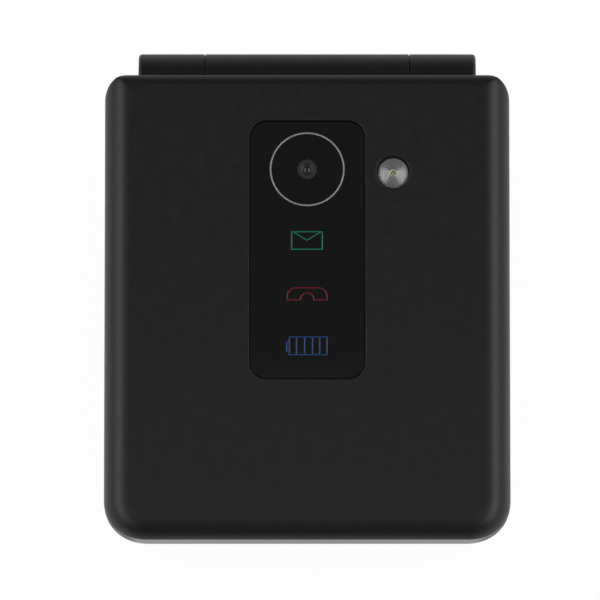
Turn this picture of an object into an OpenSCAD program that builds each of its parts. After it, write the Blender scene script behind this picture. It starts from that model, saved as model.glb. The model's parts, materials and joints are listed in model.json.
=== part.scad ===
// Clamshell phone: a lid with camera, torch and display on a three-knuckle hinge over a keypad base.
// It lies closed on its back. +Z is up, the hinge is at +Y, and the origin is at the middle of its footprint.

/* [Case] */
// Width of both halves
case_w = 62; // [58:0.5:70]
// Length of the lid, from its free end to its hinge edge
lid_l = 71.7; // [68:0.1:80]
// Height of the base
base_h = 10.8; // [10.6:0.1:13]
// Height of the lid
lid_h = 8; // [7.8:0.1:10]
// Space between the closed halves
lid_gap = 0.6; // [0.5:0.05:0.8]
// Wall of the shells
wall = 1.4; // [1.2:0.05:1.6]
// How far the base lies inside the lid's outline at the sides
base_inset = 0.15; // [0:0.05:0.3]
// How far the base's free end lies behind the lid's
base_nose_inset = 1.05; // [0.15:0.05:1.2]
// How much the upright wall at the lid's free end cuts off the round upper edge
nose_cut = 0.33; // [0.1:0.01:0.6]
// Step between the two shells of the lid, and of the base, at their seam
seam_step = 0.08; // [0.04:0.01:0.15]
// Radius of the two corners at the free end, in plan
front_corner_r = 6.4; // [5.6:0.1:8]
// Radius of the two corners at the hinge end, in plan
rear_corner_r = 3.8; // [2:0.1:4.5]
// Radius of the base's two corners at the hinge end, in plan
base_rear_corner_r = 5.2; // [5:0.1:7]
// Radius of the lid's upper edge along the sides and the free end
lid_edge_r = 3.8; // [2.5:0.1:4.4]
// Radius of the lid's upper edge at the hinge end
lid_rear_edge_r = 1.8; // [0.6:0.1:2.2]
// Radius of the base's lower edge
base_edge_r = 4.6; // [3:0.1:4.9]
// Height of the display frame's side wall, up to the lid's seam
frame_side_h = 2.2; // [1.8:0.1:2.6]
// Height of the rear shell's side wall, up to the base's seam
rear_side_h = 7.2; // [6.9:0.1:7.4]

/* [Hinge] */
// Diameter of the hinge barrel
barrel_d = 9.2; // [8.8:0.1:9.8]
// Distance of the hinge axis from the lid's hinge edge
axis_inset = 0.2; // [0.1:0.05:0.8]
// Length of the lid's middle knuckle
knuckle_l = 31.1; // [28:0.1:34]
// Length of each of the base's outer knuckles
side_knuckle_l = 10.1; // [8:0.1:10.5]
// Seam between neighbouring knuckles
knuckle_seam = 0.25; // [0.2:0.05:0.4]
// Radius of the outer knuckles' round ends
knuckle_end_r = 0.6; // [0.3:0.1:1]
// Radius of the bore through the middle knuckle
knuckle_bore_r = 3.3; // [3.2:0.05:3.5]
// Radius of the bores in the outer knuckles
pin_bore_r = 2.45; // [2.3:0.05:2.5]
// Clearance of a part that turns in another
running_gap = 0.05; // [0.03:0.01:0.08]
// Clearance between the barrel and the shells that pass it
swing_gap = 0.3; // [0.25:0.05:0.4]

/* [Window panel] */
// Width of the smoked panel
panel_w = 17.5; // [16:0.1:19]
// Length of the smoked panel
panel_l = 39.8; // [38:0.1:42]
// Distance of the panel from the lid's hinge edge
panel_back = 7.45; // [7:0.05:9]
// Corner radius of the panel
panel_r = 2.5; // [1.5:0.1:4]
// Thickness of the panel
panel_t = 0.85; // [0.7:0.05:1]
// Gap all round the panel
panel_gap = 0.12; // [0.08:0.01:0.2]
// Width of the clear block behind a sign
sign_w = 6.6; // [5:0.1:8]
// Length of the clear block behind a sign
sign_l = 4; // [3:0.1:5]
// Distance of the first sign from the lid's hinge edge
sign_back = 26.05; // [25:0.05:27]
// Distance between the signs
sign_pitch = 8.1; // [7:0.05:8.5]

/* [Camera and torch] */
// Distance of the camera from the lid's hinge edge
camera_back = 14.9; // [14:0.1:17]
// Mean diameter of the ring round the camera
ring_d = 11.2; // [10:0.1:12.5]
// Width of the ring
ring_w = 0.4; // [0.3:0.05:0.6]
// Diameter of the camera lens
lens_d = 3.05; // [2.6:0.05:3.6]
// Distance of the torch from the lid's middle
torch_x = 13.15; // [12.6:0.05:15]
// Distance of the torch from the lid's hinge edge
torch_back = 15.5; // [14:0.1:18]
// Diameter of the torch lens
torch_lens_d = 4.66; // [4:0.02:5]
// Diameter of the recess round the torch lens
torch_recess_d = 5.5; // [5.2:0.05:6]

/* [Display] */
// Width of the display module
display_w = 42.7; // [40:0.1:44]
// Length of the display module
display_l = 53; // [50:0.1:54]
// Thickness of the display module
display_t = 2; // [1.8:0.05:2.1]
// Width of the clear display window
window_w = 46; // [45:0.1:47]
// Length of the clear display window
window_l = 54.5; // [54:0.1:55]
// Thickness of the clear display window
window_t = 0.8; // [0.6:0.05:0.9]

/* [Keypad] */
// Width of a number key
key_w = 15; // [13:0.1:15.2]
// Length of a number key
key_l = 8; // [7:0.1:8.1]
// Distance between key columns
key_pitch_x = 16.2; // [16.1:0.05:16.3]
// Distance between key rows
key_pitch_y = 9.2; // [9.1:0.05:9.6]
// How far a key stands above the deck
key_proud = 0.35; // [0.2:0.05:0.4]
// How far a key travels
key_travel = 0.35; // [0.25:0.05:0.4]
// Gap round a key
key_gap = 0.2; // [0.15:0.01:0.25]
// Diameter of the navigation ring
nav_d = 19; // [18:0.1:19.4]
// Diameter of the centre key
ok_d = 8.4; // [7.5:0.1:9]

/* [Battery] */
// Width of the battery
battery_w = 34; // [32:0.1:35]
// Length of the battery
battery_l = 45; // [42:0.1:47]
// Thickness of the battery
battery_t = 4.8; // [4.4:0.05:4.9]
// Gap round the battery
battery_gap = 0.25; // [0.15:0.01:0.35]

/* [Hidden] */
$fn = 96;
slack = 1;
fit = 0.03;

// Places of the case
half_w = case_w / 2;
barrel_r = barrel_d / 2;
front_y = -(lid_l - axis_inset + barrel_r) / 2;
rear_y = front_y + lid_l;
axis_y = rear_y - axis_inset;
lid_z = base_h + lid_gap;
top_z = lid_z + lid_h;
axis_z = base_h + lid_gap / 2;
lid_seam_z = lid_z + frame_side_h;
frame_floor_t = 1.2;
frame_floor_z = lid_z + frame_floor_t;
roof_z = top_z - wall;

base_half_w = half_w - base_inset;
base_front_y = front_y + base_nose_inset;
base_rear_y = axis_y - 0.6;
base_corner_r = front_corner_r - base_inset;
deck_t = 1.4;
deck_z = base_h - deck_t;
rear_floor_t = 1.2;

// Places along the hinge
knuckle_x = knuckle_l / 2;
side_x0 = knuckle_x + knuckle_seam;
side_x1 = side_x0 + side_knuckle_l;

// Colours
soft_black = [0.07, 0.07, 0.075];
inner_black = [0.1, 0.1, 0.105];
smoke = [0.03, 0.03, 0.035];
steel = [0.72, 0.72, 0.74];
board_green = [0.05, 0.28, 0.16];
gold = [0.83, 0.68, 0.35];
key_grey = [0.16, 0.16, 0.17];
clear = [0.85, 0.9, 0.95];
rubber_black = [0.05, 0.05, 0.05];

// ---- Shared outlines ----

// Places both copies of what lies at the +X side
module both_sides() {
    for (side = [0, 1])
        mirror([side, 0, 0])
            children();
}

// What a corner loses when it is rounded: drawn from the arc's centre into the +X +Y quarter
module corner_waste(r) {
    difference() {
        square(r + slack);
        circle(r);
    }
}

// Rectangle with four round corners
module round_rect(w, l, r) {
    difference() {
        square([w, l], center = true);
        for (sx = [-1, 1], sy = [-1, 1])
            scale([sx, sy])
                translate([w / 2 - r, l / 2 - r])
                    corner_waste(r);
    }
}

// Plate with four round corners, from z0 to z1
module round_plate(w, l, r, z0, z1) {
    translate([0, 0, z0])
        linear_extrude(z1 - z0)
            round_rect(w, l, r);
}

// Strip of height h whose upper corner on the +X side is round, from x0 to x1
module edge_strip(x0, x1, h, r) {
    difference() {
        translate([x0, 0])
            square([x1 - x0, h]);
        translate([x1 - r, h - r])
            corner_waste(r);
    }
}

// Rounded end of a blank: a bar along X and a quarter of a ring at each corner, with the upper edge round
module blank_end(hw, y0, h, plan_r, edge_r) {
    translate([-(hw - plan_r), 0, 0])
        rotate([90, 0, 90])
            linear_extrude(2 * (hw - plan_r))
                mirror([1, 0])
                    edge_strip(-y0 - plan_r, -y0, h, edge_r);
    both_sides()
        translate([hw - plan_r, y0 + plan_r, 0])
            rotate([0, 0, -90])
                rotate_extrude(angle = 90)
                    edge_strip(0, plan_r, h, edge_r);
}

// Straight stretch of a blank between ya and yb, with its upper edges round
module blank_run(hw, ya, yb, h, edge_r) {
    both_sides()
        translate([0, ya, 0])
            rotate([90, 0, 180])
                linear_extrude(yb - ya)
                    edge_strip(0, hw, h, edge_r);
}

// Blank with a rounded free end and a flat hinge end that has a small upper edge of its own
module case_blank(hw, y0, y1, h, plan_r, rear_r, edge_r, rear_edge_r) {
    intersection() {
        union() {
            blank_end(hw, y0, h, plan_r, edge_r);
            blank_run(hw, y0 + plan_r, y1, h, edge_r);
        }
        rotate([90, 0, 90])
            translate([0, 0, -hw - slack])
                linear_extrude(2 * (hw + slack))
                    edge_strip(y0 - slack, y1, h, rear_edge_r);
        translate([0, 0, -slack])
            linear_extrude(h + 2 * slack)
                difference() {
                    translate([-hw - slack, y0 - slack])
                        square([2 * (hw + slack), y1 - y0 + slack]);
                    for (sx = [-1, 1])
                        scale([sx, 1])
                            translate([hw - rear_r, y1 - rear_r])
                                corner_waste(rear_r);
                }
    }
}

// Blank of the base's lower form, from z0 up by h, with its lower edge round at all four sides
module base_blank(inset, z0, h) {
    hw = base_half_w - inset;
    front = base_front_y + inset;
    rear = base_rear_y - inset;
    front_r = base_corner_r - inset;
    rear_r = base_rear_corner_r - inset;
    edge_r = base_edge_r - inset;
    translate([0, 0, z0 + h])
        mirror([0, 0, 1]) {
            blank_end(hw, front, h, front_r, edge_r);
            blank_run(hw, front + front_r, rear - rear_r, h, edge_r);
            mirror([0, 1, 0])
                blank_end(hw, -rear, h, rear_r, edge_r);
        }
}

// Cylinder along X from x0 to x1 at the hinge axis
module axle(r, x0, x1) {
    translate([x0, axis_y, axis_z])
        rotate([0, 90, 0])
            cylinder(r = r, h = x1 - x0);
}

// Outer knuckle with round outer end, on the +X side
module side_knuckle() {
    translate([side_x0, axis_y, axis_z])
        rotate([0, 90, 0])
            rotate_extrude()
                edge_strip(0, barrel_r, side_knuckle_l, knuckle_end_r);
}

// Thrust ring on the inner end of the outer knuckle: it fills most of the seam, so no light shows through
module thrust_ring() {
    difference() {
        axle(barrel_r - 0.15, knuckle_x + running_gap, side_x0 + slack);
        axle(pin_bore_r, knuckle_x, side_x0 + 2 * slack);
    }
}

// Bore shape of the left outer knuckle and the shaft in it: a round with two flats
module keyed_round(r, x0, x1) {
    intersection() {
        axle(r, x0, x1);
        translate([(x0 + x1) / 2, axis_y, axis_z])
            cube([2 * (x1 - x0), 2 * r, 1.6 * r], center = true);
    }
}

// ---- Lid ----

// Places of the lid's inner parts
boss_r = 2.1;
nose_flare = 0.5;
panel_y = rear_y - panel_back - panel_l / 2;
camera_y = rear_y - camera_back;
torch_y = rear_y - torch_back;
recess_floor_z = top_z - panel_t;
pad_t = 0.8;
pad_z = recess_floor_z - pad_t;
display_z = frame_floor_z + 0.15;
window_y = axis_y - barrel_r - swing_gap - 1.2 - window_l / 2;
board_t = 0.8;
lid_board_z = display_z + display_t + 0.15;
lid_board_top = lid_board_z + board_t;
lid_board_w = window_w;
lid_board_front = panel_y - panel_l / 2 - 1;
lid_board_rear = axis_y - barrel_r - 0.6;
lid_boss_x = window_w / 2 + 1.6 + boss_r;
lid_boss_ys = [front_y + wall + 5.2, axis_y - barrel_r - swing_gap - 3];
screw_r = 0.7;
screw_head_r = 1.35;
screw_head_h = 0.7;
sign_ys = [for (place = [0 : 2]) rear_y - sign_back - sign_pitch * place];
earpiece_y = front_y + wall + 4.2;
earpiece_w = 14;
earpiece_l = 5.4;
mesh_w = 12;
mesh_l = 2.6;
mesh_t = 0.3;
collar_r = torch_lens_d / 2 + 1.1;
collar_z = lid_board_top + 0.6;
torch_seat_z = top_z - 1;

// Clearance cut for the base's outer knuckles, through the hinge end of the lid's shells
module side_knuckle_cut() {
    both_sides()
        axle(barrel_r + swing_gap, knuckle_x, side_x1 + swing_gap);
}

// Screw bosses that stand down from the lid's roof to the display frame's floor
module lid_bosses() {
    both_sides()
        for (y = lid_boss_ys)
            translate([lid_boss_x, y, frame_floor_z + 1.4])
                cylinder(r = boss_r, h = roof_z - frame_floor_z - 1.2);
}

// Plan outline of the lid at its free end: wider than the lid, so that the crisp edge fades out at the corners
module nose_outline() {
    nose_r = front_corner_r + nose_flare;
    difference() {
        translate([-half_w - nose_flare, front_y])
            square([case_w + 2 * nose_flare, lid_l + slack]);
        for (sx = [-1, 1])
            scale([sx, -1])
                translate([half_w + nose_flare - nose_r, -front_y - nose_r])
                    corner_waste(nose_r);
    }
}

module lid_shell() {
    color(soft_black)
    difference() {
        union() {
            difference() {
                intersection() {
                    translate([0, 0, lid_seam_z])
                        case_blank(half_w, front_y - nose_cut, rear_y, top_z - lid_seam_z,
                            front_corner_r, rear_corner_r, lid_edge_r, lid_rear_edge_r);
                    translate([0, 0, lid_seam_z - slack])
                        linear_extrude(lid_h)
                            nose_outline();
                }
                difference() {
                    translate([0, 0, lid_seam_z - slack])
                        case_blank(half_w - wall, front_y + wall, rear_y - wall, roof_z - lid_seam_z + slack,
                            front_corner_r - wall, rear_corner_r - wall, lid_edge_r - wall, 0.4);
                    lid_bosses();
                    // thick pad under the window panel
                    translate([0, panel_y, 0])
                        round_plate(panel_w + 2.6, panel_l + 2.6, panel_r + 1.3, pad_z, roof_z + slack);
                    // collar that holds the torch
                    translate([torch_x, torch_y, collar_z])
                        cylinder(r = collar_r, h = roof_z - collar_z + slack);
                    // saddle that carries the middle knuckle
                    translate([-knuckle_x, axis_y - barrel_r, lid_seam_z - slack])
                        cube([knuckle_l, barrel_r + axis_inset, axis_z + barrel_r - lid_seam_z + 1.6]);
                }
                side_knuckle_cut();
            }
            axle(barrel_r, -knuckle_x, knuckle_x);
        }
        axle(knuckle_bore_r, -knuckle_x - slack, knuckle_x + slack);
        // seat of the window panel, and what looks out through it
        translate([0, panel_y, 0])
            round_plate(panel_w + 2 * panel_gap, panel_l + 2 * panel_gap, panel_r + panel_gap,
                recess_floor_z, top_z + slack);
        translate([0, camera_y, pad_z - slack])
            cylinder(r = 3.3, h = pad_t + 2 * slack);
        for (y = sign_ys)
            translate([0, y, 0])
                round_plate(sign_w, sign_l, 0.6, pad_z - slack, recess_floor_z + slack);
        // torch: a wide recess over a narrower seat
        translate([torch_x, torch_y, torch_seat_z])
            cylinder(d = torch_recess_d, h = 2 * slack);
        translate([torch_x, torch_y, collar_z - slack])
            cylinder(r = torch_lens_d / 2 + fit, h = top_z - collar_z);
        // pilot holes in the bosses
        both_sides()
            for (y = lid_boss_ys)
                translate([lid_boss_x, y, frame_floor_z])
                    cylinder(r = screw_r, h = roof_z - frame_floor_z - 1.2);
    }
}

module lid_window() {
    color(smoke)
    difference() {
        translate([0, panel_y, 0])
            round_plate(panel_w, panel_l, panel_r, recess_floor_z, top_z - 0.02);
        // groove of the ring and hole of the lens
        translate([0, camera_y, top_z - 0.35])
            difference() {
                cylinder(d = ring_d + ring_w, h = slack);
                translate([0, 0, -slack])
                    cylinder(d = ring_d - ring_w, h = 3 * slack);
            }
        translate([0, camera_y, recess_floor_z - slack])
            cylinder(r = lens_d / 2 + fit, h = panel_t + 2 * slack);
    }
}

module camera_ring() {
    color(steel)
    translate([0, camera_y, top_z - 0.35])
        rotate_extrude()
            translate([ring_d / 2 - ring_w / 2 + fit, 0])
                square([ring_w - 2 * fit, 0.34]);
}

// Flat cover with a funnel in its middle and the small round front element standing in it
module camera_lens() {
    lens_top = top_z - 0.1;
    funnel = 0.25;
    bead_r = 0.8;
    bead_w = 1.16;
    color([0.12, 0.13, 0.16])
    translate([0, camera_y, 0])
        union() {
            difference() {
                translate([0, 0, recess_floor_z + 0.02])
                    cylinder(d = lens_d, h = lens_top - recess_floor_z - 0.02);
                translate([0, 0, lens_top - funnel])
                    cylinder(d1 = bead_w + 0.1, d2 = bead_w + 0.8, h = funnel + 0.01);
            }
            intersection() {
                translate([0, 0, lens_top - funnel - 0.1])
                    cylinder(d = bead_w, h = slack);
                translate([0, 0, lens_top - 0.02 - bead_r])
                    sphere(r = bead_r);
            }
        }
}

module camera_module() {
    color(inner_black)
    translate([0, camera_y, 0])
        difference() {
            union() {
                translate([-4.2, -4.2, lid_board_top])
                    cube([8.4, 8.4, pad_z - lid_board_top - 0.1]);
                translate([0, 0, lid_board_top])
                    cylinder(r = 3.15, h = recess_floor_z - lid_board_top - 0.02);
            }
            translate([0, 0, recess_floor_z - 0.5])
                cylinder(r1 = 0.8, r2 = 1.3, h = slack);
        }
}

module torch_lens() {
    lens_r = torch_lens_d / 2;
    color(clear)
    translate([torch_x, torch_y, 0])
        difference() {
            intersection() {
                translate([0, 0, torch_seat_z - 0.4])
                    cylinder(r = lens_r, h = 1.3);
                translate([0, 0, top_z - 0.12 - 9])
                    sphere(r = 9);
            }
            // stepped rings of a Fresnel face on the underside
            for (step = [1 : 3])
                translate([0, 0, torch_seat_z - 0.4 - slack])
                    difference() {
                        cylinder(r = 0.62 * step + 0.3, h = slack + 0.12);
                        translate([0, 0, -slack])
                            cylinder(r = 0.62 * step, h = 3 * slack);
                    }
        }
}

module torch_reflector() {
    lens_r = torch_lens_d / 2;
    reflector_top = torch_seat_z - 0.42;
    color(steel)
    translate([torch_x, torch_y, 0])
        difference() {
            translate([0, 0, collar_z - 0.5])
                cylinder(r = lens_r, h = reflector_top - collar_z + 0.5);
            translate([0, 0, collar_z - 0.1])
                cylinder(r1 = 0.9, r2 = lens_r - 0.15, h = reflector_top - collar_z + 0.11);
            translate([0, 0, collar_z - slack])
                cylinder(r = 0.9, h = 2 * slack);
        }
}

// Chip of the torch and the three chips behind the signs
module lid_leds() {
    torch_chip = 1.2;
    sign_chip_w = 1.6;
    sign_chip_l = 0.8;
    color([0.95, 0.9, 0.45])
    {
        translate([torch_x - torch_chip / 2, torch_y - torch_chip / 2, lid_board_top])
            cube([torch_chip, torch_chip, 0.9]);
        for (y = sign_ys)
            translate([-sign_chip_w / 2, y - sign_chip_l / 2, lid_board_top])
                cube([sign_chip_w, sign_chip_l, 0.5]);
    }
}

// Clear block that carries the light of each sign's chip up to the panel
module icon_light_guide() {
    color(clear)
    for (y = sign_ys)
        translate([0, y, 0]) {
            round_plate(sign_w - 2 * fit, sign_l - 2 * fit, 0.5, pad_z - 0.6, recess_floor_z - 0.02);
            round_plate(sign_w + 0.8, sign_l + 0.8, 0.5, lid_board_top + 0.6, pad_z - 0.02);
        }
}

module lid_board() {
    color(board_green)
    difference() {
        translate([-lid_board_w / 2, lid_board_front, lid_board_z])
            cube([lid_board_w, lid_board_rear - lid_board_front, board_t]);
        // slot of the flex cable
        translate([-6, lid_board_rear - 1.2, lid_board_z - slack])
            cube([12, 0.5, board_t + 2 * slack]);
    }
}

module display_module() {
    color([0.25, 0.27, 0.3])
    translate([-display_w / 2, window_y - display_l / 2, display_z])
        cube([display_w, display_l, display_t]);
}

module display_window() {
    color(clear)
    translate([0, window_y, 0])
        round_plate(window_w, window_l, 1.8, lid_z + 0.08, lid_z + 0.08 + window_t);
}

module lid_frame() {
    active_w = 37.5;
    active_l = 49.8;
    color(inner_black)
    difference() {
        union() {
            difference() {
                intersection() {
                    translate([0, 0, lid_seam_z])
                        mirror([0, 0, 1])
                            case_blank(half_w - seam_step, front_y - nose_cut + seam_step, rear_y - seam_step,
                                frame_side_h, front_corner_r, rear_corner_r, 1.2, 0.6);
                    translate([0, seam_step, lid_z - slack])
                        linear_extrude(lid_h)
                            nose_outline();
                }
                translate([0, 0, frame_floor_z])
                    case_blank(half_w - wall, front_y + wall, rear_y - wall, frame_side_h + slack,
                        front_corner_r - wall, rear_corner_r - wall, 0.5, 0.4);
            }
            // screw towers and the rails beside the display
            both_sides() {
                for (y = lid_boss_ys)
                    translate([lid_boss_x, y, frame_floor_z - 0.2])
                        cylinder(r = boss_r, h = 1.5);
                translate([display_w / 2 + 0.3, window_y - display_l / 2, frame_floor_z - 0.2])
                    cube([1, display_l, display_t]);
            }
        }
        // seat of the display window and the opening behind it
        translate([0, window_y, 0])
            round_plate(window_w + 0.2, window_l + 0.2, 1.9, lid_z - slack, lid_z + 0.08 + window_t + 0.02);
        translate([-active_w / 2, window_y - active_l / 2, lid_z])
            cube([active_w, active_l, frame_side_h]);
        // earpiece: seat of the mesh and three slots behind it
        translate([0, earpiece_y, 0])
            round_plate(mesh_w + 0.1, mesh_l + 0.1, mesh_l / 2, lid_z - slack, lid_z + mesh_t + 0.1);
        for (step = [-1 : 1])
            translate([3.4 * step, earpiece_y, 0])
                round_plate(2.6, 1, 0.45, lid_z, frame_floor_z + slack);
        // screws with their heads under the bumpers
        both_sides()
            for (y = lid_boss_ys)
                translate([lid_boss_x, y, lid_z - slack]) {
                    cylinder(r = 2, h = slack + 0.5);
                    cylinder(r = screw_head_r + 0.05, h = slack + 0.5 + screw_head_h + 0.05);
                    cylinder(r = screw_r + 0.15, h = slack + 4);
                }
        side_knuckle_cut();
        axle(barrel_r + 2 * fit, -knuckle_x - slack, knuckle_x + slack);
        translate([-knuckle_x - 0.1, axis_y - barrel_r - 2 * fit, axis_z])
            cube([knuckle_l + 0.2, 2 * barrel_r, barrel_r]);
    }
}

module earpiece() {
    color(steel)
    translate([0, earpiece_y, 0]) {
        round_plate(earpiece_w, earpiece_l, 1.6, frame_floor_z + 0.05, frame_floor_z + 2.6);
        round_plate(earpiece_w - 3, earpiece_l - 2, 1, frame_floor_z + 2.5, frame_floor_z + 3.1);
    }
}

module earpiece_mesh() {
    color(steel)
    translate([0, earpiece_y, 0])
        round_plate(mesh_w, mesh_l, mesh_l / 2 - 0.05, lid_z + 0.08, lid_z + 0.08 + mesh_t);
}

// Pads that hide the screws and keep the closed halves apart
module lid_bumpers() {
    color(rubber_black)
    both_sides()
        for (y = lid_boss_ys)
            translate([lid_boss_x, y, lid_z + 0.48])
                rotate([180, 0, 0])
                    rotate_extrude()
                        edge_strip(0, 1.95, 0.48 + lid_gap - 0.08, 0.3);
}

// Pan-head screws: head down, in the lid's frame
module lid_screws() {
    color(steel)
    both_sides()
        for (y = lid_boss_ys)
            translate([lid_boss_x, y, lid_z + 0.52]) {
                cylinder(r = screw_head_r, h = screw_head_h);
                cylinder(r = screw_r - fit, h = 4.4);
            }
}

module lid_magnet() {
    color(steel)
    translate([half_w - 12, front_y + wall + 3, frame_floor_z])
        cylinder(d = 4, h = 2);
}

// ---- Hinge cartridge ----

can_r = knuckle_bore_r - fit;
can_wall = 0.4;
can_l = 16;
can_x0 = -knuckle_x + 0.2;
cam_r = can_r - can_wall - running_gap;
shaft_r = 1.9;
cam_t = 2;
lobe_h = 0.7;
cam_x0 = can_x0 + can_wall + running_gap;
follower_x0 = cam_x0 + cam_t + lobe_h + 0.15;
follower_t = 2.2;
spring_x0 = follower_x0 + follower_t + 0.02;
spring_x1 = can_x0 + can_l - can_wall - 0.02;
spring_r = 1.95;
wire_r = 0.32;
shaft_tip_x = -side_x0 - side_knuckle_l * 0.62;

module hinge_can() {
    color(steel)
    difference() {
        axle(can_r, can_x0, can_x0 + can_l);
        axle(can_r - can_wall, can_x0 + can_wall, can_x0 + can_l - can_wall);
        axle(shaft_r + running_gap, can_x0 - slack, can_x0 + 2 * can_wall);
    }
}

// Cam with a ridge across its face; its flatted shaft is held in the left outer knuckle
module hinge_cam() {
    color([0.6, 0.6, 0.62])
    union() {
        axle(cam_r, cam_x0, cam_x0 + cam_t);
        intersection() {
            axle(cam_r, cam_x0 + cam_t - 0.1, cam_x0 + cam_t + lobe_h);
            translate([cam_x0 + cam_t - cam_r + lobe_h, axis_y, axis_z])
                cylinder(r = cam_r, h = 4 * cam_r, center = true);
        }
        axle(shaft_r, -side_x0, cam_x0 + cam_t / 2);
        keyed_round(pin_bore_r - running_gap, shaft_tip_x, -side_x0 + 0.02);
    }
}

module hinge_follower() {
    guide_w = 1.4;
    color([0.5, 0.5, 0.52])
    union() {
        axle(can_r - can_wall - fit, follower_x0, follower_x0 + follower_t);
        axle(spring_r - wire_r - 0.15, follower_x0 + follower_t - 0.1, follower_x0 + follower_t + guide_w);
    }
}

// Compression spring between the follower and the can's closed end
spring_turns = 6;
spring_sides = 6;
spring_steps = 12;

function ring_point(step, side) =
    let (turn = 360 * step / spring_steps, round = 360 * side / spring_sides,
        r = spring_r + wire_r * cos(round),
        run = (spring_x1 - spring_x0 - 2 * wire_r) * step / (spring_turns * spring_steps))
    [spring_x0 + wire_r + run + wire_r * sin(round), axis_y + r * cos(turn), axis_z + r * sin(turn)];

module hinge_spring() {
    last = spring_turns * spring_steps;
    points = [for (step = [0 : last], side = [0 : spring_sides - 1]) ring_point(step, side)];
    ends = [[for (side = [0 : spring_sides - 1]) side],
        [for (side = [spring_sides - 1 : -1 : 0]) last * spring_sides + side]];
    walls = [for (step = [0 : last - 1], side = [0 : spring_sides - 1])
        let (next = (side + 1) % spring_sides, a = step * spring_sides)
        [a + side, a + spring_sides + side, a + spring_sides + next, a + next]];
    color(steel)
        polyhedron(points, concat(ends, walls), convexity = 10);
}

// Hollow sleeve fixed in the lid's bore; its neck turns in the right outer knuckle
sleeve_l = 6;
module hinge_sleeve() {
    color(steel)
    difference() {
        union() {
            axle(can_r, knuckle_x - sleeve_l, knuckle_x - 0.1);
            axle(pin_bore_r - running_gap, knuckle_x - 0.2, side_x0 + side_knuckle_l * 0.62);
        }
        axle(1.6, knuckle_x - sleeve_l - slack, side_x1);
    }
}

// Flat cable wound in the bore: a spiral strip
module hinge_flex() {
    turns = 2.5;
    steps = 60;
    flex_t = 0.14;
    r0 = 1.3;
    pitch = 0.62;
    spiral = [for (i = [0 : steps]) let (a = 360 * turns * i / steps, r = r0 + pitch * turns * i / steps)
        [r * cos(a), r * sin(a)]];
    back = [for (i = [steps : -1 : 0]) let (a = 360 * turns * i / steps, r = r0 + flex_t + pitch * turns * i / steps)
        [r * cos(a), r * sin(a)]];
    flex_x0 = can_x0 + can_l + 0.95;
    flex_x1 = knuckle_x - sleeve_l - 0.6;
    color([0.75, 0.45, 0.15])
    translate([flex_x0, axis_y, axis_z])
        rotate([90, 0, 90])
            linear_extrude(flex_x1 - flex_x0)
                polygon(concat(spiral, back));
}

// ---- Keypad ----

// Heights in the keypad
key_top_z = base_h + key_proud;
flange_t = 0.55;
flange_w = 0.5;
flange_z1 = deck_z - 0.05;
flange_z0 = flange_z1 - flange_t;
main_board_top = 7.9;
dome_r = 2.2;
small_dome_r = 1.6;
dome_h = 0.28;
dome_z = main_board_top + 0.12;
nub_z = dome_z + dome_h + key_travel + 0.02;
crown_r = 60;
key_corner_r = 1.6;
nav_y = axis_y - barrel_r - swing_gap - 1.95 - nav_d / 2;
row_0_y = nav_y - nav_d / 2 - 2 * flange_w - 1.3 - key_l / 2;
rows_y = [for (row = [0 : 3]) row_0_y - key_pitch_y * row];
nav_hole_d = ok_d + 0.9;
side_key_l = 8.6;
side_key_dy = 4.85;
nav_clear_r = nav_d / 2 + 2 * flange_w + 0.25;
nav_flange_drop = 0.42;
nav_flange_t = 0.33;
nav_flange_z = flange_z1 - nav_flange_drop - nav_flange_t;
nav_top_z = key_top_z - 0.1;

// Centre of a number key: column 0 is on the left, row 0 is nearest to the hinge
function key_place(column, row) = [(column - 1) * key_pitch_x, rows_y[row], 0];

module at_key(column, row) {
    translate(key_place(column, row))
        children();
}

// Plan outline of a number key, grown all round
module number_outline(grow) {
    round_rect(key_w + 2 * grow, key_l + 2 * grow, key_corner_r + grow);
}

// Plan outline of the keys beside the navigation ring: their inner corner follows the ring
module side_outline(side, level, grow) {
    difference() {
        translate([side * key_pitch_x, nav_y + level * side_key_dy])
            round_rect(key_w + 2 * grow, side_key_l + 2 * grow, key_corner_r + grow);
        translate([0, nav_y])
            circle(nav_clear_r - grow);
    }
}

// Key made from a plan outline (its children): crowned cap, flange under the deck and nub over the dome
module key_body(x, y, crown_w) {
    intersection() {
        translate([0, 0, flange_z1 - 0.1])
            linear_extrude(key_top_z - flange_z1 + 0.2)
                children(0);
        translate([x, y, key_top_z - crown_r])
            rotate([90, 0, 0])
                cylinder(r = crown_r, h = crown_w, center = true, $fn = 360);
    }
    translate([0, 0, flange_z0])
        linear_extrude(flange_t)
            children(1);
    translate([x, y, nub_z])
        cylinder(r = 1, h = flange_z0 - nub_z + 0.1);
}

module number_key(column, row) {
    color(key_grey)
    at_key(column, row)
        key_body(0, 0, 2 * key_w) {
            number_outline(0);
            number_outline(flange_w - 0.05);
        }
}

module side_key(side, level, shade) {
    color(shade)
        key_body(side * key_pitch_x, nav_y + level * side_key_dy, 2 * key_w) {
            side_outline(side, level, 0);
            side_outline(side, level, flange_w - 0.05);
        }
}

module key_1() { number_key(0, 0); }
module key_2() { number_key(1, 0); }
module key_3() { number_key(2, 0); }
module key_4() { number_key(0, 1); }
module key_5() { number_key(1, 1); }
module key_6() { number_key(2, 1); }
module key_7() { number_key(0, 2); }
module key_8() { number_key(1, 2); }
module key_9() { number_key(2, 2); }
module key_star() { number_key(0, 3); }
module key_0() { number_key(1, 3); }
module key_hash() { number_key(2, 3); }
module soft_key_left() { side_key(-1, 1, key_grey); }
module soft_key_right() { side_key(1, 1, key_grey); }
module call_key() { side_key(-1, -1, [0.1, 0.35, 0.18]); }
module end_key() { side_key(1, -1, [0.4, 0.1, 0.1]); }

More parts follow.
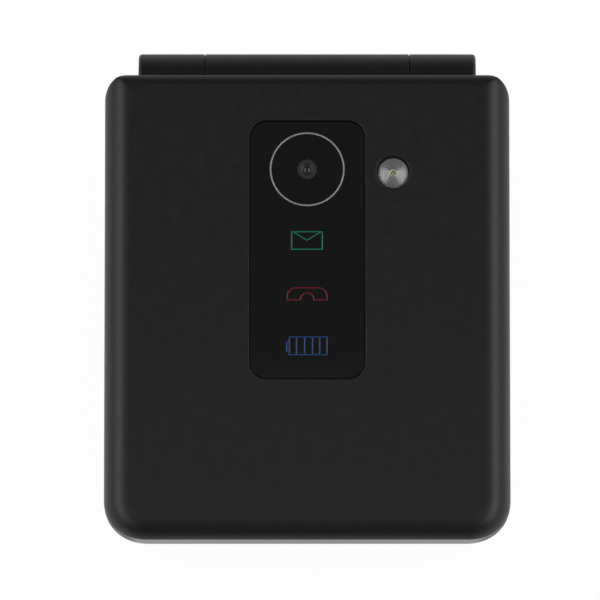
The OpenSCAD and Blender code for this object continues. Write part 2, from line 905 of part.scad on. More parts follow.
// Ring that tilts about its middle: dished face, flange under the deck
module nav_ring() {
    inner_r = nav_hole_d / 2;
    outer_r = nav_d / 2;
    dish_r = 8;
    color(key_grey)
    translate([0, nav_y, 0])
        rotate_extrude()
            difference() {
                union() {
                    translate([inner_r, flange_z1 - nav_flange_drop - 0.1])
                        edge_strip(0, outer_r - inner_r, nav_top_z - flange_z1 + nav_flange_drop + 0.1, 0.4);
                    translate([inner_r, nav_flange_z])
                        square([outer_r + flange_w - inner_r, nav_flange_t]);
                }
                translate([(inner_r + outer_r) / 2 - 0.4, nav_top_z + dish_r - 0.2])
                    circle(dish_r);
            }
}

module ok_key() {
    color(key_grey)
    translate([0, nav_y, 0]) {
        intersection() {
            translate([0, 0, nub_z])
                cylinder(d = ok_d, h = key_top_z - nub_z);
            translate([0, 0, key_top_z - 14])
                sphere(r = 14);
        }
    }
}

// Rocker in the left side wall: it turns about an upright axis at its middle
rocker_l = 15;
rocker_h = 2.2;
rocker_y = 10;
rocker_z = rear_side_h + 1.55;
rocker_out = 0.1;
rocker_swing = 0.35;
rocker_flange = 0.5;
rocker_flange_t = 0.6;
module volume_key() {
    color(key_grey)
    translate([-base_half_w - rocker_out, rocker_y, rocker_z])
        rotate([90, 0, 90]) {
            round_plate(rocker_l, rocker_h, rocker_h / 2 - 0.05, 0, wall + rocker_out + rocker_swing + 0.1);
            translate([0, 0, wall + rocker_out + rocker_swing])
                round_plate(rocker_l + 2 * rocker_flange, rocker_h + 2 * rocker_flange, 1, 0, rocker_flange_t);
        }
}

// ---- Base ----

base_boss_r = 2;
base_boss_x = key_pitch_x + key_w / 2 + flange_w + 0.3 + base_boss_r;
base_boss_ys = [base_front_y + wall + 7.1, axis_y - barrel_r - swing_gap - 3.2];
main_board_z = main_board_top - board_t;
board_half_w = base_half_w - wall - 0.8;
board_front_y = base_front_y + wall + 0.6;
board_rear_y = axis_y - barrel_r - swing_gap - 1;
bay_wall = 1;
cover_t = 1.15;
cover_half_w = base_half_w - base_edge_r - 2.85;
cover_corner_r = 4;
cover_front_y = base_front_y + base_edge_r + 0.4;
cover_rear_y = base_rear_y - base_edge_r - 0.4;
cover_gap = 0.12;
bay_floor_z = cover_t + 0.1;
bay_top_z = bay_floor_z + battery_t + 0.15;
bay_rear_y = axis_y - barrel_r - swing_gap - 4.45;
bay_front_y = bay_rear_y - battery_l - 2 * battery_gap;
usb_x = -20.6;
usb_w = 7.6;
usb_h = 2.5;
usb_z = main_board_z - usb_h / 2 - 0.02;
jack_y = 17;
jack_z = 4.3;
jack_r = 1.8;
jack_w = 5.8;
speaker_w = 7;
speaker_l = 15;
speaker_x = base_half_w - wall - 1.55 - speaker_w / 2;
speaker_y = -12;
speaker_z = 2.6;
motor_d = 8;
motor_t = 2.7;
motor_x = -(base_half_w - wall - 1.05 - motor_d / 2);
mic_x = 8;
mic_w = 3.2;
mic_l = 2.2;
mic_y = base_front_y + wall + 1.1 + mic_l / 2;
card_w = 16.8;
card_l = 5.8;
card_y = bay_front_y - bay_wall - 0.1 - card_l;
contact_z = bay_floor_z + battery_t / 2;
tab_x = 14;
tab_w = 5;
tab_l = 1.2;
tab_z = 0.6;
rocker_room = rocker_swing + rocker_flange_t + rocker_swing + 0.35;

// Cut for the lid's middle knuckle and its web
module middle_knuckle_cut() {
    axle(barrel_r + swing_gap, -side_x0, side_x0);
}

// Ribs round the board screws: posts that stand down from the deck
module deck_posts() {
    both_sides()
        for (y = base_boss_ys)
            translate([base_boss_x, y, main_board_top + 0.02])
                cylinder(r = base_boss_r, h = deck_z - main_board_top + 0.2);
}

module keypad_frame() {
    side_h = base_h - rear_side_h;
    color(inner_black) {
        difference() {
            union() {
                difference() {
                    translate([0, 0, rear_side_h])
                        case_blank(base_half_w - seam_step, base_front_y + seam_step, base_rear_y - seam_step,
                            side_h, base_corner_r - seam_step, base_rear_corner_r - seam_step, 0.6, 0.6);
                    translate([0, 0, rear_side_h - slack])
                        case_blank(base_half_w - wall, base_front_y + wall, base_rear_y - wall,
                            side_h - deck_t + slack, base_corner_r - wall, base_rear_corner_r - wall, 0.5, 0.4);
                }
                deck_posts();
                both_sides() {
                    side_knuckle();
                    // web between the knuckle and the deck
                    translate([side_x0, axis_y - barrel_r, rear_side_h])
                        cube([side_knuckle_l - knuckle_end_r, barrel_r - 0.6, axis_z - rear_side_h - 0.3]);
                }
            }
            middle_knuckle_cut();
            translate([0, 0, deck_z - slack])
                linear_extrude(deck_t + 2 * slack) {
                    for (column = [0 : 2], row = [0 : 3])
                        translate([(column - 1) * key_pitch_x, rows_y[row]])
                            number_outline(key_gap);
                    for (side = [-1, 1], level = [-1, 1])
                        side_outline(side, level, key_gap);
                    translate([0, nav_y])
                        circle(nav_d / 2 + key_gap);
                }
            // bores of the outer knuckles
            keyed_round(pin_bore_r, -side_x1 + 2, -side_x0 + slack);
            axle(pin_bore_r, side_x0 - slack, side_x0 + side_knuckle_l - 2);
            // slot of the volume rocker
            translate([-base_half_w - slack, rocker_y, rocker_z])
                rotate([90, 0, 90])
                    round_plate(rocker_l + 2 * key_gap, rocker_h + 2 * key_gap, rocker_h / 2 + 0.1, 0, wall + 2 * slack);
            // room for the rocker's flange, cut into the deck from below
            translate([-base_half_w + wall, rocker_y - rocker_l / 2 - 1.2, rear_side_h - slack])
                cube([rocker_room, rocker_l + 2.4, rocker_z - rear_side_h + slack + rocker_h / 2 + rocker_flange + 0.15]);
            // hole over the microphone
            translate([mic_x, mic_y, deck_z - slack])
                cylinder(r = 0.5, h = deck_t + 2 * slack);
            // pilot holes in the posts
            both_sides()
                for (y = base_boss_ys)
                    translate([base_boss_x, y, main_board_top - slack])
                        cylinder(r = screw_r, h = deck_z - main_board_top + slack + 0.8);
        }
        both_sides()
            thrust_ring();
    }
}

module rear_shell() {
    color(soft_black)
    difference() {
        union() {
            difference() {
                base_blank(0, 0, rear_side_h);
                difference() {
                    base_blank(wall, rear_floor_t, rear_side_h);
                    // walls of the battery bay
                    translate([-battery_w / 2 - battery_gap - bay_wall, bay_front_y - bay_wall, 0])
                        cube([battery_w + 2 * (battery_gap + bay_wall), bay_rear_y - bay_front_y + 2 * bay_wall,
                            bay_top_z + 0.5]);
                    both_sides()
                        for (y = base_boss_ys)
                            translate([base_boss_x, y, 0])
                                cylinder(r = base_boss_r + 0.3, h = main_board_z - 0.02);
                }
            }
        }
        // open bay and the seat of its cover
        translate([-battery_w / 2 - battery_gap, bay_front_y, -slack])
            cube([battery_w + 2 * battery_gap, bay_rear_y - bay_front_y, bay_top_z + slack]);
        translate([0, (cover_front_y + cover_rear_y) / 2, 0])
            round_plate(2 * (cover_half_w + cover_gap), cover_rear_y - cover_front_y + 2 * cover_gap,
                cover_corner_r, -slack, cover_t + 0.02);
        // finger notch at the free end of the cover
        translate([0, cover_front_y - 0.6, -5.2])
            sphere(r = 6);
        // window for the card holder
        translate([-card_w / 2 - 0.6, card_y, -slack])
            cube([card_w + 1.2, card_l, 2 * slack + rear_floor_t]);
        // window for the battery's contacts, and slots for the tabs of the cover
        translate([-5.2, bay_rear_y - slack, contact_z - 1.2])
            cube([10.4, bay_wall + 2 * slack, 2.4]);
        both_sides()
            translate([tab_x - tab_w / 2 - 0.15, cover_rear_y - slack, tab_z - 0.08])
                cube([tab_w + 0.3, tab_l + slack + 0.15, cover_t + 0.1 - tab_z + 0.08]);
        middle_knuckle_cut();
        both_sides()
            for (y = base_boss_ys)
                translate([base_boss_x, y, -slack]) {
                    cylinder(r = screw_head_r + 0.45, h = slack + 2);
                    cylinder(r = screw_r + 0.15, h = main_board_top + slack);
                }
        // saddles of the outer knuckles
        both_sides()
            axle(barrel_r + fit, knuckle_x, side_x1 + fit);
        // sockets
        translate([usb_x, base_front_y, usb_z])
            rotate([90, 0, 0])
                round_plate(usb_w + 0.5, usb_h + 0.5, 0.8, -2 * wall, slack);
        translate([base_half_w - 2 * wall, jack_y, jack_z])
            rotate([0, 90, 0])
                cylinder(r = jack_r + 0.75, h = 3 * wall);
        // slots of the loudspeaker
        for (step = [-2 : 2])
            translate([speaker_x + 0.9, speaker_y + 2.4 * step, -slack])
                round_plate(2.2, 1, 0.45, 0, 4);
    }
}

module battery_cover() {
    color(soft_black)
    difference() {
        union() {
            translate([0, (cover_front_y + cover_rear_y) / 2, 0])
                round_plate(2 * cover_half_w, cover_rear_y - cover_front_y, cover_corner_r - cover_gap, 0, cover_t);
            // ribs that keep the battery still
            for (x = [-10, 0, 10])
                translate([x - 0.4, bay_front_y + 6, cover_t - 0.1])
                    cube([0.8, battery_l - 12, 0.18]);
            // tabs that hook into the rear shell at the hinge end
            both_sides()
                translate([tab_x - tab_w / 2, cover_rear_y - 0.1, tab_z])
                    cube([tab_w, tab_l + 0.1, cover_t - tab_z]);
        }
        translate([0, cover_front_y - 0.6, -5.2])
            sphere(r = 6);
    }
}

module battery() {
    color([0.82, 0.83, 0.84])
    translate([-battery_w / 2, bay_front_y + battery_gap, bay_floor_z])
        difference() {
            intersection() {
                cube([battery_w, battery_l, battery_t]);
                translate([battery_w / 2, 0, battery_t / 2])
                    rotate([-90, 0, 0])
                        round_plate(battery_w, battery_t, battery_t * 0.42, 0, battery_l);
            }
            // recesses of its three contacts
            for (step = [-1 : 1])
                translate([battery_w / 2 + 3.4 * step - 1, battery_l - 0.25, battery_t / 2 - 1])
                    cube([2, slack, 2]);
        }
}

// Block behind the bay with three spring tips that reach the battery through the bay's wall
module battery_contacts() {
    block_y = bay_rear_y + bay_wall + 0.1;
    tip_y = bay_rear_y - battery_gap - 0.15;
    color(gold)
    union() {
        translate([-5, block_y, contact_z - 1.1])
            cube([10, 1.6, main_board_z - contact_z + 1.08]);
        for (step = [-1 : 1])
            translate([3.4 * step - 0.6, tip_y, contact_z - 0.6])
                cube([1.2, block_y - tip_y + 0.1, 1.2]);
    }
}

module main_board() {
    color(board_green)
    difference() {
        translate([-board_half_w, board_front_y, main_board_z])
            cube([2 * board_half_w, board_rear_y - board_front_y, board_t]);
        for (sx = [-1, 1])
            translate([sx * board_half_w, board_front_y, main_board_z - slack])
                cylinder(r = 3, h = board_t + 2 * slack);
        both_sides()
            for (y = base_boss_ys)
                translate([base_boss_x, y, main_board_z - slack])
                    cylinder(r = screw_r + 0.3, h = board_t + 2 * slack);
        // bay for the volume rocker
        translate([-board_half_w - slack, rocker_y - rocker_l / 2 - 1.2, main_board_z - slack])
            cube([slack + rocker_room - 0.8, rocker_l + 2.4, board_t + 2 * slack]);
    }
}

// Two small switches at the board's edge, behind the ends of the volume rocker
module side_switches() {
    color(steel)
    for (side = [-1, 1])
        translate([-base_half_w + wall + rocker_room + 0.1, rocker_y + side * 5 - 1.6, main_board_top + 0.01])
            cube([1.4, 3.2, 1.3]);
}

// Pressed cans over the radio and the processor, on the board's underside beside the bay
module board_shields() {
    can_w = 7.6;
    can_l = 26;
    can_h = 1.6;
    sheet_t = 0.2;
    color(steel)
    both_sides()
        translate([battery_w / 2 + battery_gap + bay_wall + 0.4, speaker_y - 10, main_board_z - can_h])
            difference() {
                cube([can_w, can_l, can_h - 0.02]);
                translate([sheet_t, sheet_t, sheet_t])
                    cube([can_w - 2 * sheet_t, can_l - 2 * sheet_t, can_h]);
            }
}

module sim_holder() {
    rim = 1;
    color(steel)
    translate([-card_w / 2, card_y, main_board_z - 1.5])
        difference() {
            cube([card_w, card_l, 1.48]);
            translate([rim, -slack, 0.3])
                cube([card_w - 2 * rim, card_l + slack - 0.4, 0.8]);
        }
}

module snap_dome(r, h) {
    cylinder(r1 = r, r2 = 0.58 * r, h = h);
}

// Thin sheet with a snap dome under each key
module dome_sheet() {
    sheet_t = 0.12;
    half_sheet_w = base_boss_x - base_boss_r - 0.2;
    front = rows_y[3] - dome_r - 0.6;
    rear = nav_y + nav_d / 2 - 0.1;
    color([0.75, 0.76, 0.7])
    translate([0, 0, main_board_top]) {
        translate([-half_sheet_w, front, 0])
            cube([2 * half_sheet_w, rear - front, sheet_t]);
        for (column = [0 : 2], row = [0 : 3])
            at_key(column, row)
                snap_dome(dome_r, sheet_t + dome_h);
        for (side = [-1, 1], level = [-1, 1])
            translate([side * key_pitch_x, nav_y + level * side_key_dy, 0])
                snap_dome(dome_r, sheet_t + dome_h);
        translate([0, nav_y, 0])
            snap_dome(dome_r, sheet_t + dome_h);
        for (turn = [0 : 90 : 270])
            translate([0, nav_y, 0])
                rotate([0, 0, turn])
                    translate([(nav_d + nav_hole_d) / 4, 0, 0])
                        snap_dome(small_dome_r, nav_flange_z - main_board_top - 0.25);
    }
}

module loudspeaker() {
    color([0.3, 0.3, 0.32])
    translate([speaker_x, speaker_y, 0]) {
        round_plate(speaker_w, speaker_l, 1.6, speaker_z, speaker_z + 2.2);
        round_plate(speaker_w - 2, speaker_l - 2, 1, speaker_z + 2.1, speaker_z + 2.7);
    }
}

module vibration_motor() {
    color(steel)
    translate([motor_x, speaker_y, speaker_z])
        cylinder(d = motor_d, h = motor_t);
}

module microphone() {
    color(gold)
    translate([mic_x - mic_w / 2, mic_y - mic_l / 2, main_board_top + 0.01])
        cube([mic_w, mic_l, 1.1]);
}

// Socket shell with its tongue
module usb_port() {
    color(steel)
    translate([usb_x, base_front_y + 0.6, usb_z])
        rotate([-90, 0, 0]) {
            difference() {
                round_plate(usb_w, usb_h, 0.7, 0, 5.6);
                round_plate(usb_w - 0.6, usb_h - 0.6, 0.4, -slack, 5.1);
            }
            translate([-2.8, -0.35, 1.2])
                cube([5.6, 0.7, 4.2]);
        }
}

// Jack whose nose fills the hole in the side wall, flush with the rounded flank
module headphone_jack() {
    jack_x = battery_w / 2 + battery_gap + bay_wall + 0.3;
    color(inner_black)
    difference() {
        union() {
            intersection() {
                translate([jack_x, jack_y - jack_w / 2, jack_z - 2.35])
                    cube([base_half_w - jack_x, jack_w, 4.9]);
                base_blank(wall + 0.15, rear_floor_t + 0.1, main_board_z - rear_floor_t - 0.12);
            }
            intersection() {
                translate([base_half_w - 2 * wall, jack_y, jack_z])
                    rotate([0, 90, 0])
                        cylinder(r = jack_r + 0.7, h = 3 * wall);
                base_blank(0.05, 0.05, rear_side_h);
            }
        }
        translate([jack_x + 0.7, jack_y, jack_z])
            rotate([0, 90, 0])
                cylinder(r = jack_r, h = base_half_w);
    }
}

// Plastic carrier of the antenna, across the free end
module antenna() {
    carrier_x = mic_x + mic_w / 2 + 1.9;
    carrier_w = 11;
    carrier_l = 3.4;
    carrier_z = 3;
    rib = 1;
    color([0.2, 0.2, 0.2])
    difference() {
        translate([carrier_x, base_front_y + wall + 0.4, carrier_z])
            cube([carrier_w, carrier_l, main_board_z - carrier_z - 0.05]);
        translate([carrier_x + rib, base_front_y + wall - slack, carrier_z - slack])
            cube([carrier_w - 2 * rib, carrier_l, main_board_z - carrier_z - 0.05]);
    }
}

module base_screws() {
    color(steel)
    both_sides()
        for (y = base_boss_ys)
            translate([base_boss_x, y, 1.98 - screw_head_h]) {
                cylinder(r = screw_head_r, h = screw_head_h);
                cylinder(r = screw_r - fit, h = 7.2);
            }
}

lid_shell();
lid_window();
camera_ring();
camera_lens();
camera_module();
torch_lens();
torch_reflector();
lid_leds();
icon_light_guide();
lid_board();
display_module();
display_window();
lid_frame();
earpiece();
earpiece_mesh();
lid_bumpers();
lid_screws();
lid_magnet();
hinge_can();
hinge_spring();
hinge_follower();
hinge_sleeve();
hinge_flex();
keypad_frame();
rear_shell();
battery_cover();
battery();
battery_contacts();
main_board();
board_shields();
sim_holder();
dome_sheet();
loudspeaker();
vibration_motor();
microphone();
usb_port();
headphone_jack();
side_switches();
antenna();
base_screws();
hinge_cam();
key_1();
key_2();
key_3();
key_4();
key_5();
key_6();
key_7();
key_8();
key_9();
key_star();
key_0();
key_hash();
soft_key_left();
soft_key_right();
call_key();
end_key();
nav_ring();
ok_key();
volume_key();
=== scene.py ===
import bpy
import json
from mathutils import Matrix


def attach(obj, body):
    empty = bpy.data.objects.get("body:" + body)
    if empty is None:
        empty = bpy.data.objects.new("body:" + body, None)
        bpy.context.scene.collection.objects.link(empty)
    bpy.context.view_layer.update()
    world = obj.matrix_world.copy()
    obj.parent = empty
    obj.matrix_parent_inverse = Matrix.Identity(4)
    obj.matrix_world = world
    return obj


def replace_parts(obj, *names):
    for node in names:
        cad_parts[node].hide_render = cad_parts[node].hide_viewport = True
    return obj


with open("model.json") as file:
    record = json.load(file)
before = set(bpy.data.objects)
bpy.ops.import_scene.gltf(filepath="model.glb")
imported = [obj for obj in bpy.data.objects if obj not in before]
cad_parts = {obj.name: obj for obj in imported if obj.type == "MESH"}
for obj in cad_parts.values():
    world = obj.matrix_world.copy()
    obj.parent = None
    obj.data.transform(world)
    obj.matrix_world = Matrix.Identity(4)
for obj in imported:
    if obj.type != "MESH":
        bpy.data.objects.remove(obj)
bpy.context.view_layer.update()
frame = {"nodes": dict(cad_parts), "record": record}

import json
import math
import bmesh
import bpy
import numpy as np
from mathutils import Matrix, Vector

mm = 0.001
scene = bpy.context.scene
scene.view_settings.view_transform = "Standard"
nodeObjects = frame["nodes"]


def nodeBox(name):
    # lowest and highest corner of a CAD node's mesh, in metres
    mesh = nodeObjects[name].data
    points = np.empty(len(mesh.vertices) * 3)
    mesh.vertices.foreach_get("co", points)
    points = points.reshape(-1, 3)
    return points.min(0), points.max(0)


def nodeCentre(name):
    # middle = (lowest + highest corner) / 2
    low, high = nodeBox(name)
    return (low + high) / 2


def topMiddle(name):
    # the middle across x and y, at the highest z
    low, high = nodeBox(name)
    return (low[0] + high[0]) / 2, (low[1] + high[1]) / 2, high[2]


# camera: looks down on the lid, from a little towards the free end
cameraSet = {
    "tilt": 9.0,              # degrees off the lid's normal
    "distance": 1.5,
    "target": (-0.00110, -0.00001, 0.010),
    "pixelsPerMetre": 6515,   # at the target
    "frame": 600,             # its width in pixels
    "sensor": 36.0,
    "clip": (0.05, 20),
}


def placeCamera(values):
    # place = target + distance * (0, -sin tilt, cos tilt); lens = sensor * pixelsPerMetre * distance / frame
    tilt = math.radians(values["tilt"])
    back = Vector((0, -math.sin(tilt), math.cos(tilt)))
    data = bpy.data.cameras.new("camera")
    data.sensor_width = values["sensor"]
    data.lens = values["sensor"] * values["pixelsPerMetre"] * values["distance"] / values["frame"]
    data.clip_start, data.clip_end = values["clip"]
    camera = bpy.data.objects.new("camera", data)
    scene.collection.objects.link(camera)
    up = Vector((0, math.cos(tilt), math.sin(tilt)))
    right = up.cross(back)
    turn = Matrix((right, up, back)).transposed().to_4x4()
    camera.matrix_world = Matrix.Translation(Vector(values["target"]) + back * values["distance"]) @ turn
    scene.camera = camera


placeCamera(cameraSet)
print("camera done")


# small helpers for node trees
def addNode(tree, kind, inputs=None, **settings):
    # a node with its settings, each input either linked or set
    node = tree.nodes.new(kind)
    for key, value in settings.items():
        setattr(node, key, value)
    for key, value in (inputs or {}).items():
        if isinstance(value, bpy.types.NodeSocket):
            tree.links.new(value, node.inputs[key])
        else:
            node.inputs[key].default_value = value
    return node


def calc(tree, operation, *values, clamp=False):
    # one arithmetic node; returns its result
    inputs = {index: value for index, value in enumerate(values)}
    return addNode(tree, "ShaderNodeMath", inputs, operation=operation, use_clamp=clamp).outputs[0]


def mapRange(tree, value, low, high, toLow=0.0, toHigh=1.0):
    # value from low..high carried to toLow..toHigh, held at both ends
    inputs = {"Value": value, "From Min": low, "From Max": high, "To Min": toLow, "To Max": toHigh}
    return addNode(tree, "ShaderNodeMapRange", inputs).outputs[0]


def mixColour(tree, share, first, second):
    # first * (1 - share) + second * share
    node = addNode(tree, "ShaderNodeMix", {0: share, 6: first, 7: second}, data_type="RGBA")
    return node.outputs[2]


def mixValue(tree, share, first, second):
    # the same for plain values
    return addNode(tree, "ShaderNodeMix", {0: share, 2: first, 3: second}, data_type="FLOAT").outputs[0]


def ramp(tree, value, stops):
    # grey curve through (position, brightness) stops
    node = addNode(tree, "ShaderNodeValToRGB", {"Fac": value})
    band = node.color_ramp
    while len(band.elements) < len(stops):
        band.elements.new(0.5)
    for element, (position, level) in zip(band.elements, stops):
        element.position = position
        element.color = (level, level, level, 1)
    return node.outputs["Color"]


# floor, sky and lamps
stageSet = {
    "floorHalf": 3.0,
    "floorDrop": 0.01 * mm,
    "seatInset": 6 * mm,        # of the opening under the phone
    "floorColour": (0.96, 0.96, 0.96, 1),
    "floorWhite": 0.96,         # share of plain white the camera sees
    "sideGlow": 0.95,           # floor mirrored in the phone's sides
    "reachFrom": 37 * mm,       # mirrored floor: ramps run from here, over frontReach
    "frontReach": 0.12,
    "sideSky": [(0.0, 0.70), (0.26, 0.50), (0.5, 0.34), (0.8, 0.24), (1.0, 0.17)],
    "backSky": [(0.0, 0.46), (0.26, 0.215), (0.42, 0.085), (0.6, 0.05), (0.85, 0.035), (0.95, 0.12),
                (1.0, 0.18)],
    "frontSky": [(0.0, 0.32), (0.12, 0.15), (0.25, 0.08), (0.5, 0.12), (0.75, 0.16), (0.92, 0.18),
                 (1.0, 0.17)],
    "frontFloor": [(0.0, 0.68), (0.16, 0.68), (0.24, 0.92), (0.4, 0.78), (0.6, 0.48), (1.0, 0.36)],
    "backFloor": [(0.0, 0.58), (0.3, 0.52), (1.0, 0.40)],
}
boxSet = {
    "left": {"azimuth": -90, "elevation": 42, "distance": 0.6, "size": (0.80, 0.32), "power": 1.35},
    "right": {"azimuth": 90, "elevation": 42, "distance": 0.6, "size": (0.80, 0.32), "power": 1.5},
    "top": {"azimuth": 180, "elevation": 81, "distance": 0.2, "size": (0.30, 0.09), "power": 0.020},
    "fill": {"azimuth": 0, "elevation": 86, "distance": 1.0, "size": (1.2, 1.2), "power": 4.2,
             "mirrored": False},
}


def shares(tree, x, y):
    # side share = x^2 / (x^2 + y^2); the rest goes to the back or the front by the sign of y
    across = calc(tree, "MULTIPLY", x, x)
    along = calc(tree, "MULTIPLY", y, y)
    side = calc(tree, "DIVIDE", across, calc(tree, "ADD", calc(tree, "ADD", across, along), 1e-9))
    behind = calc(tree, "GREATER_THAN", y, 0.0)
    return side, behind


def blendRound(tree, side, behind, sideLevel, backLevel, frontLevel):
    # front and back levels by the half the point is in, then the side level by its share
    ends = mixColour(tree, behind, frontLevel, backLevel)
    return mixColour(tree, side, ends, sideLevel)


def makeFloor(values):
    # a flat square with an opening under the phone: white to the camera, lit paint elsewhere, a fall-off
    # where surfaces mirror it, and nothing at all from below
    low, high = nodeBox("rear_shell")
    half, seat, z = values["floorHalf"], values["seatInset"], -values["floorDrop"]
    outer = [(-half, -half, z), (half, -half, z), (half, half, z), (-half, half, z)]
    inner = [(low[0] + seat, low[1] + seat, z), (high[0] - seat, low[1] + seat, z),
             (high[0] - seat, high[1] - seat, z), (low[0] + seat, high[1] - seat, z)]
    mesh = bpy.data.meshes.new("floor")
    mesh.from_pydata(outer + inner, [], [(0, 1, 5, 4), (1, 2, 6, 5), (2, 3, 7, 6), (3, 0, 4, 7)])
    floor = bpy.data.objects.new("floor", mesh)
    scene.collection.objects.link(floor)
    material = bpy.data.materials.new("floorPaint")
    material.use_nodes = True
    tree = material.node_tree
    tree.nodes.clear()
    place = addNode(tree, "ShaderNodeSeparateXYZ", {0: addNode(tree, "ShaderNodeTexCoord").outputs["Object"]})
    side, behind = shares(tree, place.outputs[0], place.outputs[1])
    away = calc(tree, "SUBTRACT", calc(tree, "ABSOLUTE", place.outputs[1]), values["reachFrom"])
    away = calc(tree, "DIVIDE", away, values["frontReach"], clamp=True)
    mirrored = blendRound(tree, side, behind, (values["sideGlow"],) * 3 + (1,),
                          ramp(tree, away, values["backFloor"]), ramp(tree, away, values["frontFloor"]))
    path = addNode(tree, "ShaderNodeLightPath")
    seen = calc(tree, "MAXIMUM", path.outputs["Is Camera Ray"], path.outputs["Is Transmission Ray"])
    paint = addNode(tree, "ShaderNodeBsdfDiffuse", {"Color": values["floorColour"]})
    white = addNode(tree, "ShaderNodeEmission", {"Strength": 1.0})
    glow = addNode(tree, "ShaderNodeEmission", {"Color": mirrored, "Strength": 1.0})
    inCamera = addNode(tree, "ShaderNodeMixShader", {0: calc(tree, "MULTIPLY", seen, values["floorWhite"]),
                                                     1: paint.outputs[0], 2: white.outputs[0]})
    mirror = addNode(tree, "ShaderNodeMixShader", {0: path.outputs["Is Glossy Ray"],
                                                   1: inCamera.outputs[0], 2: glow.outputs[0]})
    under = addNode(tree, "ShaderNodeNewGeometry").outputs["Backfacing"]
    clear = addNode(tree, "ShaderNodeBsdfTransparent")
    oneSided = addNode(tree, "ShaderNodeMixShader", {0: under, 1: mirror.outputs[0], 2: clear.outputs[0]})
    addNode(tree, "ShaderNodeOutputMaterial", {"Surface": oneSided.outputs[0]})
    mesh.materials.append(material)


def makeSky(values):
    # white for the camera; for light a soft room, brighter at the sides and towards the horizon
    world = bpy.data.worlds.new("sky")
    world.use_nodes = True
    scene.world = world
    tree = world.node_tree
    tree.nodes.clear()
    way = addNode(tree, "ShaderNodeTexCoord").outputs["Generated"]
    way = addNode(tree, "ShaderNodeSeparateXYZ", {0: way})
    side, behind = shares(tree, way.outputs[0], way.outputs[1])
    height = way.outputs[2]
    room = blendRound(tree, side, behind, ramp(tree, height, values["sideSky"]),
                      ramp(tree, height, values["backSky"]), ramp(tree, height, values["frontSky"]))
    soft = addNode(tree, "ShaderNodeBackground", {"Color": room, "Strength": 1.0})
    white = addNode(tree, "ShaderNodeBackground", {"Color": (1, 1, 1, 1), "Strength": 1.0})
    path = addNode(tree, "ShaderNodeLightPath")
    seen = calc(tree, "MAXIMUM", path.outputs["Is Camera Ray"], path.outputs["Is Transmission Ray"])
    mix = addNode(tree, "ShaderNodeMixShader", {0: seen, 1: soft.outputs[0], 2: white.outputs[0]})
    addNode(tree, "ShaderNodeOutputWorld", {"Surface": mix.outputs[0]})


def makeBox(name, values):
    # a rectangular lamp facing the phone, at distance * (sin a cos e, cos a cos e, sin e)
    a, e = math.radians(values["azimuth"]), math.radians(values["elevation"])
    away = Vector((math.sin(a) * math.cos(e), math.cos(a) * math.cos(e), math.sin(e)))
    data = bpy.data.lights.new(name, "AREA")
    data.shape = "RECTANGLE"
    data.size, data.size_y = values["size"]
    data.energy = values["power"]
    lamp = bpy.data.objects.new(name, data)
    lamp.location = away * values["distance"]
    lamp.rotation_euler = away.to_track_quat("Z", "Y").to_euler()
    lamp.visible_camera = False
    lamp.visible_glossy = values.get("mirrored", True)
    scene.collection.objects.link(lamp)


makeFloor(stageSet)
makeSky(stageSet)
for boxName, boxValues in boxSet.items():
    makeBox("softbox." + boxName, boxValues)
print("stage done")


# shared effects
effectSet = {
    "toneCells": 12,          # the grain's slow noise is that many cells wide
    "wearPatches": 900.0,     # noise that breaks up the wear, per metre
    "wearBroken": (0.35, 0.65),
    "speckR": 0.035,          # largest speck of dust, as a share of the spacing
    "speckFacing": (0.5, 0.8),
}


def newGroup(name, inputs, outputs):
    # a shader group with named values in and out
    group = bpy.data.node_groups.new(name, "ShaderNodeTree")
    for label, kind, value in inputs:
        socket = group.interface.new_socket(label, in_out="INPUT", socket_type=kind)
        socket.default_value = value
    for label, kind in outputs:
        group.interface.new_socket(label, in_out="OUTPUT", socket_type=kind)
    return group, group.nodes.new("NodeGroupInput"), group.nodes.new("NodeGroupOutput")


def makeGrain():
    # height = (noise of cells that size - 1/2) * depth; tone = noise toneCells wider
    group, given, out = newGroup("fineGrain",
                                 [("Size mm", "NodeSocketFloat", 0.15),
                                  ("Depth mm", "NodeSocketFloat", 0.003)],
                                 [("Height", "NodeSocketFloat"), ("Tone", "NodeSocketFloat")])
    place = addNode(group, "ShaderNodeTexCoord").outputs["Object"]
    perCell = calc(group, "DIVIDE", 1 / mm, given.outputs["Size mm"])
    cells = addNode(group, "ShaderNodeVectorMath", {0: place, "Scale": perCell}, operation="SCALE")
    fine = addNode(group, "ShaderNodeTexNoise", {"Vector": cells.outputs[0], "Scale": 1.0, "Detail": 2.0})
    slow = addNode(group, "ShaderNodeTexNoise", {"Vector": cells.outputs[0], "Detail": 3.0,
                                                 "Scale": 1 / effectSet["toneCells"]})
    height = calc(group, "MULTIPLY", calc(group, "SUBTRACT", fine.outputs[0], 0.5),
                  calc(group, "MULTIPLY", given.outputs["Depth mm"], mm))
    group.links.new(height, out.inputs["Height"])
    group.links.new(slow.outputs[0], out.inputs["Tone"])
    return group


